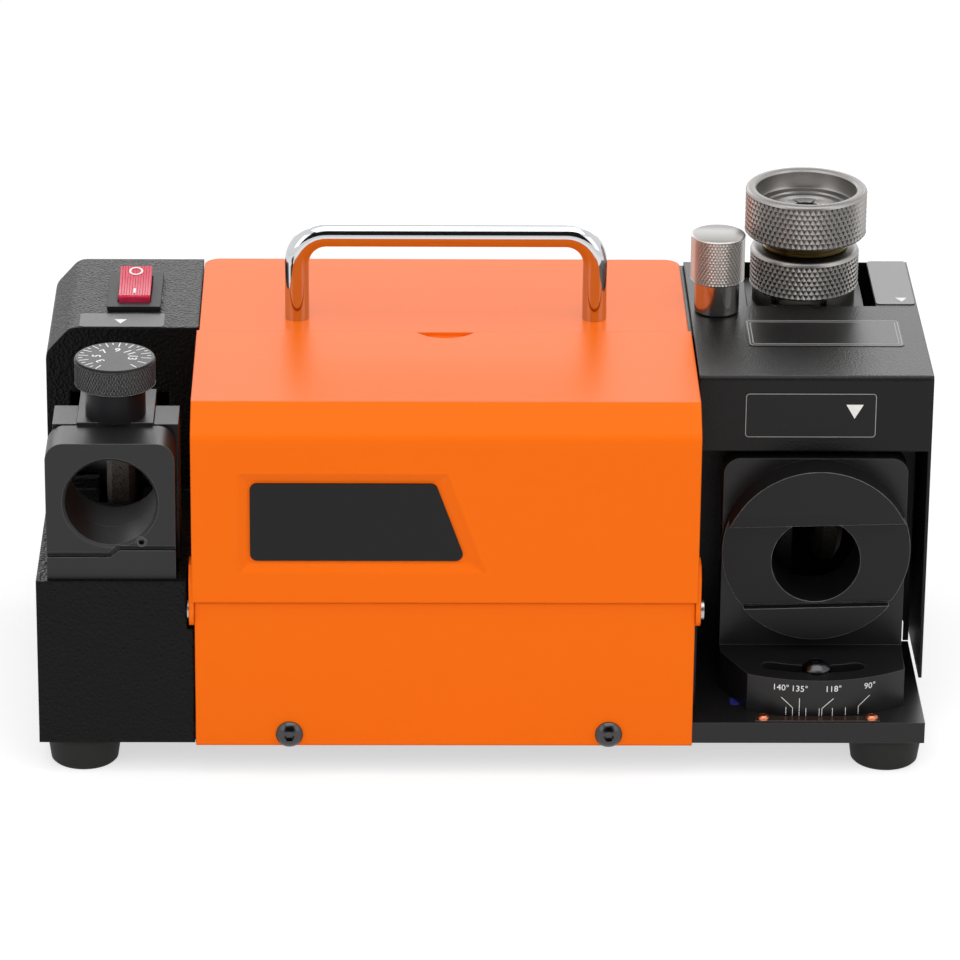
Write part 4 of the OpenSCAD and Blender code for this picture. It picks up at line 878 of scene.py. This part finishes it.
class SHARPENER_OT_web_dial(bpy.types.Operator):
    """Turn the knurled dial of the web station and print its scale"""

    bl_idname = "sharpener.web_dial"
    bl_label = "Web dial"

    def execute(self, context):
        knurls = context.scene.sharpener_knurls
        marks = context.scene.sharpener_marks
        axis, low, high, r = turned_box("web_dial")
        neck = 10.75
        shoulder = high - 10.1
        bore = 4.05
        profile = [
            (bore, low), (neck, low), (neck, shoulder), (r - 0.6, shoulder),
            (r, shoulder + 0.5), (r, high - 0.9), (r - 0.2, high - 0.4), (r - 0.7, high),
            (0, high), (0, high - 3), (bore, high - 3),
        ]
        dial = turned(
            "web_dial_turned", axis, profile, diamond_columns(r, knurls.dial_pitch), "oxide",
            "web_dial", [(shoulder + 0.5, high - 0.9, knurls.dial_depth / MM)])
        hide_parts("web_dial")
        top = Vector((axis.x, axis.y, (high + FOOT_HEIGHT + 0.01) * MM))
        # one division is 22.6 degrees; the even numbers' ticks carry no number
        first, division = 242.0, -22.6
        scale = []

        def tick(divisions, inner, outer):
            scale.append(extruded(
                "dial_tick", strip((inner, 0), (outer, 0), 0.42),
                lying(top, math.radians(first + divisions * division)),
                marks.ink_height / MM, "ink", "web_dial", "blackened_steel", 0))

        for i in range(14):
            tick(i, r - 4.9, r - 1.3)
        for i in range(11):
            tick(i + 0.5, r - 2.9, r - 1.5)
        for i, text in enumerate(("3", "5", "7", "9", "11", "13")):
            turn = math.radians(first + (2 * i + 1) * division)
            place = lying(top + Vector((math.cos(turn), math.sin(turn), 0)) * 6.3 * MM,
                          turn - math.radians(90))
            scale.append(number(
                text, place, marks.dial_number, "web_dial", "dial_number",
                0.06 * MM))
        joined("dial_scale", scale)
        return {"FINISHED"}


class SHARPENER_OT_switch(bpy.types.Operator):
    """Make the flange, the ribbed rocker and the two marks of the mains switch"""

    bl_idname = "sharpener.switch"
    bl_label = "Mains switch"

    def execute(self, context):
        x, y, z = -128.5, 119.0, 125.8
        half, wide = 11.4, 5.8
        # a thin sharp-cornered flange on the switch's body, with its three blades
        look = ("nylon", "machine", "switch_black")
        opening = rounded(12.2, 27.5, 0.3)
        shell = rounded(15.6, 32, 0.6)
        bezel = joined("switch_flange", [
            pierced("flange", rounded(19.6, 36, 0.6), opening, lying(at(x, y, 127)), 1.6, *look),
            pierced("shell", shell, opening, lying(at(x, y, 119)), 8, *look),
            extruded("base", shell, lying(at(x, y, 107)), 12, *look),
        ] + [
            extruded("blade", rounded(4.8, 0.8, 0.1), lying(at(x, y + row, 100)), 7, *look)
            for row in (-11, 0, 11)
        ])
        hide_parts("switch_bezel")
        tilt = Matrix.Rotation(math.radians(8), 4, "X")
        pivot = Matrix.Translation(at(x, y, z)) @ tilt
        # section along the rocker: ends, dished middle, hidden underside
        section = [
            (-half, 3), (-half, 5.9), (-half + 0.5, 6.5), (-6, 6.15), (0, 5.8), (6, 6.3),
            (half - 0.5, 6.8), (half, 6.2), (half, 3), (half - 5, -3), (-half + 5, -3),
        ]
        ribs = 12
        across = []
        for i in range(ribs):
            left = -wide + 2 * wide * i / ribs
            pitch = 2 * wide / ribs
            across += [(left, 0.0), (left + 0.12 * pitch, 0.16), (left + 0.5 * pitch, 0.24),
                       (left + 0.88 * pitch, 0.16)]
        across.append((wide, 0.0))
        vertices = []
        for px, rise in across:
            for py, pz in section:
                lift = rise - 0.2 if pz >= 5 else 0
                vertices.append(pivot @ (Vector((px, py, pz + lift)) * MM))
        size = len(section)
        faces = [list(range(size)), [(len(across) - 1) * size + i for i in range(size)][::-1]]
        for k in range(len(across) - 1):
            for i in range(size):
                j = (i + 1) % size
                faces.append((k * size + i, (k + 1) * size + i, (k + 1) * size + j, k * size + j))
        rocker = piece(
            "rocker_ribbed", vertices, faces, "rocker", "rocker", 35)
        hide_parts("switch_rocker")
        ink = context.scene.sharpener_marks.ink_height / MM
        rise = 0.05
        slope = math.atan2(0.5, 4.9)
        rear = pivot @ Matrix.Translation(Vector((0, 7.4, 6.5 + rise)) * MM) @ Matrix.Rotation(
            slope, 4, "X")
        front = pivot @ Matrix.Translation(Vector((0, -7.2, 6.26 + rise)) * MM) @ Matrix.Rotation(
            -slope / 2, 4, "X")
        circle = outline_frame(
            "off_mark", 5.2, 5.2, 2.59, 0.75, rear, ink + 0.05, "ink", "rocker", "rocker_red")
        bar = extruded(
            "on_mark", rounded(0.85, 3.8, 0.3), front, ink + 0.05, "ink", "rocker", "rocker_red", 0)
        joined("rocker_marks", [circle, bar])
        return {"FINISHED"}


class SHARPENER_OT_angle_scale(bpy.types.Operator):
    """Print the point angle scale on the swivelling block"""

    bl_idname = "sharpener.angle_scale"
    bl_label = "Point angle scale"

    def execute(self, context):
        marks = context.scene.sharpener_marks
        ink = marks.ink_height / MM
        width = marks.tick_width / MM
        pivot = at(119.4, 60, 0)
        radius = 55.0
        # tick feet, tick tops, ends of the long leaders, middle of the numbers
        foot, top, leader, text_height = 8.3, 11.4, 15.2, 18.9

        def on_rim(degrees, height):
            """Placement on the block's front arc, degrees to the right of the front."""
            turn = math.radians(degrees)
            spot = pivot + Vector((math.sin(turn), -math.cos(turn), 0)) * (radius + 0.01) * MM
            spot.z = (height + FOOT_HEIGHT) * MM
            return standing(spot, turn)

        def stroke(degrees, run, low, high):
            """Stroke on the rim from low up to high, where it ends run mm further right."""
            middle_of_stroke = degrees + math.degrees(run / 2 / radius)
            parts.append(extruded(
                "scale_tick", strip((-run / 2, low), (run / 2, high), width),
                on_rim(middle_of_stroke, 0), ink, "ink", "angle_station", "crinkle_black", 0))

        def on_scale(angle):
            """Degrees to the right of the front at which a point angle is marked."""
            # half of a point angle lies on each side of the drill, and 118 is at 1.8 degrees
            return (118 - angle) / 2 + 1.8

        parts = []
        for angle in (145, 140, 135, 130, 120, 118, 110, 100, 90):
            stroke(on_scale(angle), 0, foot, leader if angle == 135 else top)
        for angle, run in ((140, -4.2), (118, 4.1), (90, 4.3)):
            stroke(on_scale(angle), run, top, leader)
        for angle, degrees in ((140, -13.9), (135, -6.8), (118, 5.9), (90, 20.2)):
            parts.append(number(
                f"{angle}°", on_rim(degrees, text_height), marks.number_height,
                "angle_station", "scale_number"))
        joined("angle_scale", parts)
        return {"FINISHED"}


class SHARPENER_OT_port_marks(bpy.types.Operator):
    """Lay the films and print the plain marks beside the ports"""

    bl_idname = "sharpener.port_marks"
    bl_label = "Port marks"

    def execute(self, context):
        ink = context.scene.sharpener_marks.ink_height / MM
        # films and the plate lie a hundredth of a millimetre clear of the coat
        film, foil = 0.15, 0.3
        lip_front, cover_top = 36.99, 127.01
        cover = ("machine", "sheet_black")
        housing = ("machine", "crinkle_black")

        def on_lip(x, z, lift=0.0):
            """Placement on the front of the right cover, lift in mm off it."""
            return standing(at(x, lip_front - lift, z))

        def on_top(x, y, lift=0.0):
            """Placement on the level top of the cover or the housing, lift in mm above it."""
            return lying(at(x, y, cover_top + lift))

        joined("cover_fields", [
            extruded("lip_field", rounded(47.2, 17.2, 1.5), on_lip(116.2, 112.2), film,
                     "gloss_film", *cover, 0),
            extruded("top_field", rounded(56.6, 26.4, 2), on_top(123.6, 80), film,
                     "gloss_film", *cover, 0),
        ])
        extruded("foil_plate", rounded(14.4, 45, 1.5), on_top(152.2, 131.5), foil, "label", *cover)
        extruded(
            "left_strip", rounded(31, 13.5, 1.5), on_top(-132.3, 91.2), film, "gloss_film",
            *housing, 0)
        joined("field_lines", [
            outline_frame(
                "field_line", width, depth, corner, line, place, ink, "faint", *cover)
            for width, depth, corner, line, place in (
                (46.8, 16.8, 1.3, 0.25, on_lip(116.2, 112.2, film)),
                (55.4, 24.8, 1.6, 0.35, on_top(123.6, 80, film)),
                (53.2, 22.0, 1.0, 0.35, on_top(123.6, 80, film)),
            )
        ])
        joined("port_arrows", [
            extruded("lip_arrow", [(-3.1, 0), (0, -5.4), (3.1, 0)], on_lip(131.9, 116.4, film),
                     ink, "ink", *cover, 0),
            extruded("plate_arrow", [(-2.2, 2), (0, -2), (2.2, 2)], on_top(154.6, 113.5, foil),
                     ink, "ink", *cover, 0),
        ])
        extruded(
            "web_arrow", [(-2.3, 2.0), (0, -2.2), (2.3, 2.0)], on_top(-132.8, 89.9, film), ink,
            "ink", *housing, 0)
        # a dab of blue layout paint by the swivel block
        extruded(
            "paint_dab", soft_corners([(-1.8, -3), (1.8, -3), (1.8, 3), (-1.8, 3)], 1.2),
            lying(at(90.5, 18, PLATE_TOP)), 0.05, "dab", "machine", "plate_black", 0)
        return {"FINISHED"}


class SHARPENER_OT_stage(bpy.types.Operator):
    """Set up the floor, the soft light and the camera"""

    bl_idname = "sharpener.stage"
    bl_label = "Stage"

    def execute(self, context):
        scene = context.scene
        stage = scene.sharpener_stage
        scene.view_settings.view_transform = "Standard"

        paint, tree = empty_material("white_matt_paint")
        # what the camera or a reflection sees glows up to white and keeps the shadow
        seen = seen_directly(tree)
        seen_paint = add(tree, "ShaderNodeBsdfDiffuse", {"Color": (0.5, 0.5, 0.5, 1)})
        glow = add(tree, "ShaderNodeEmission", {"Color": (1, 1, 1, 1), "Strength": 0.62})
        both = add(tree, "ShaderNodeAddShader", {0: seen_paint.outputs[0], 1: glow.outputs[0]})
        matt = add(tree, "ShaderNodeBsdfDiffuse", {"Color": linear("#f4f4f3")})
        pick = add(tree, "ShaderNodeMixShader", {
            0: seen, 1: matt.outputs[0], 2: both.outputs[0]})
        add(tree, "ShaderNodeOutputMaterial", {"Surface": pick.outputs[0]})
        floor = flat_panel("floor", [(-4, -4, 0), (4, -4, 0), (4, 4, 0), (-4, 4, 0)], paint)

        world = bpy.data.worlds.new("studio")
        scene.world = world
        world.use_nodes = True
        tree = world.node_tree
        tree.nodes.clear()
        level = spread(tree, seen_directly(tree), stage.ambient, 1.0)
        sky = add(tree, "ShaderNodeBackground", {"Color": (1, 1, 1, 1), "Strength": level})
        add(tree, "ShaderNodeOutputWorld", {"Surface": sky.outputs[0]})

        side = stage.overhead * 0.2
        # the rear box only makes sheen on the tops, and the front fill only plain light
        for name, spot, size, watts, glossy, diffuse in (
            ("overhead_softbox", (0.1, -0.3, 1.5), (1.8, 1.2), stage.overhead, True, True),
            ("rear_softbox", (0.0, 1.6, 1.05), (2.4, 1.6), stage.rear, True, False),
            ("front_fill", (0.0, -1.9, 1.7), (2.0, 1.2), stage.front, False, True),
            ("left_softbox", (-1.3, -0.9, 0.9), (0.8, 1.0), side, True, True),
            ("right_softbox", (1.4, -0.8, 0.8), (0.8, 1.0), side, True, True),
        ):
            lamp = bpy.data.lights.new(name, "AREA")
            lamp.shape = "RECTANGLE"
            lamp.size, lamp.size_y = size
            lamp.energy = watts
            made = bpy.data.objects.new(name, lamp)
            made.location = spot
            aim = Vector((0, 0, 0.1)) - Vector(spot)
            made.rotation_euler = aim.to_track_quat("-Z", "Y").to_euler()
            made.visible_camera = False
            made.visible_glossy = glossy
            made.visible_diffuse = diffuse
            scene.collection.objects.link(made)

        # a dark flag behind the camera gives bright metal its dark bands
        cloth, tree = empty_material("black_velvet")
        velvet = add(tree, "ShaderNodeBsdfDiffuse", {"Color": linear("#2c2c2c")})
        add(tree, "ShaderNodeOutputMaterial", {"Surface": velvet.outputs[0]})
        flag = flat_panel(
            "dark_flag", [(-2.5, -3, 0.8), (2.5, -3, 0.8), (2.5, -3, 5), (-2.5, -3, 5)], cloth)
        flag.visible_camera = False
        flag.visible_diffuse = False
        flag.visible_shadow = False

        # the camera's place in metres, and its pitch down, turn to the right and roll
        place = Vector((-0.0381, -1.8771, 0.8717))
        pitch, yaw, roll = (math.radians(a) for a in (22.833, 1.125, 0.55))
        camera_data = bpy.data.cameras.new("camera")
        camera_data.sensor_width = 36
        camera_data.lens = stage.lens
        camera_data.clip_start = 0.05
        camera = bpy.data.objects.new("camera", camera_data)
        ahead = Vector((
            math.sin(yaw) * math.cos(pitch), math.cos(yaw) * math.cos(pitch), -math.sin(pitch)))
        right = Vector((math.cos(yaw), -math.sin(yaw), 0))
        up = right.cross(ahead)
        across = right * math.cos(roll) + up * math.sin(roll)
        upward = up * math.cos(roll) - right * math.sin(roll)
        turn = Matrix((across, upward, -ahead)).transposed().to_4x4()
        camera.matrix_world = Matrix.Translation(place) @ turn
        scene.collection.objects.link(camera)
        scene.camera = camera
        return {"FINISHED"}


STEPS = (
    SHARPENER_OT_covers, SHARPENER_OT_guides, SHARPENER_OT_fasteners, SHARPENER_OT_motor,
    SHARPENER_OT_chuck, SHARPENER_OT_cover_knob, SHARPENER_OT_web_dial, SHARPENER_OT_switch,
    SHARPENER_OT_angle_scale, SHARPENER_OT_port_marks, SHARPENER_OT_stage,
)
GROUPS = {
    "sharpener_colours": SharpenerColours,
    "sharpener_knurls": SharpenerKnurls,
    "sharpener_marks": SharpenerMarks,
    "sharpener_stage": SharpenerStage,
}


class SHARPENER_PT_steps(bpy.types.Panel):
    """Settings and build steps of the sharpener"""

    bl_idname = "SHARPENER_PT_steps"
    bl_label = "Drill bit sharpener"
    bl_space_type = "VIEW_3D"
    bl_region_type = "UI"
    bl_category = "Sharpener"

    def draw(self, context):
        for name, group in GROUPS.items():
            box = self.layout.box()
            box.label(text=name.split("_")[1].capitalize())
            for key in group.__annotations__:
                box.prop(getattr(context.scene, name), key)
        for step in STEPS:
            self.layout.operator(step.bl_idname)


def register():
    """Register the settings, the operators and the panel."""
    for group in GROUPS.values():
        bpy.utils.register_class(group)
    for name, group in GROUPS.items():
        setattr(bpy.types.Scene, name, PointerProperty(type=group))
    for step in STEPS:
        bpy.utils.register_class(step)
    bpy.utils.register_class(SHARPENER_PT_steps)


def unregister():
    """Remove what register added."""
    bpy.utils.unregister_class(SHARPENER_PT_steps)
    for step in reversed(STEPS):
        bpy.utils.unregister_class(step)
    for name, group in GROUPS.items():
        delattr(bpy.types.Scene, name)
        bpy.utils.unregister_class(group)


def main():
    """Build everything in order."""
    register()
    for step in STEPS:
        family, action = step.bl_idname.split(".")
        getattr(getattr(bpy.ops, family), action)()


if __name__ == "__main__":
    main()
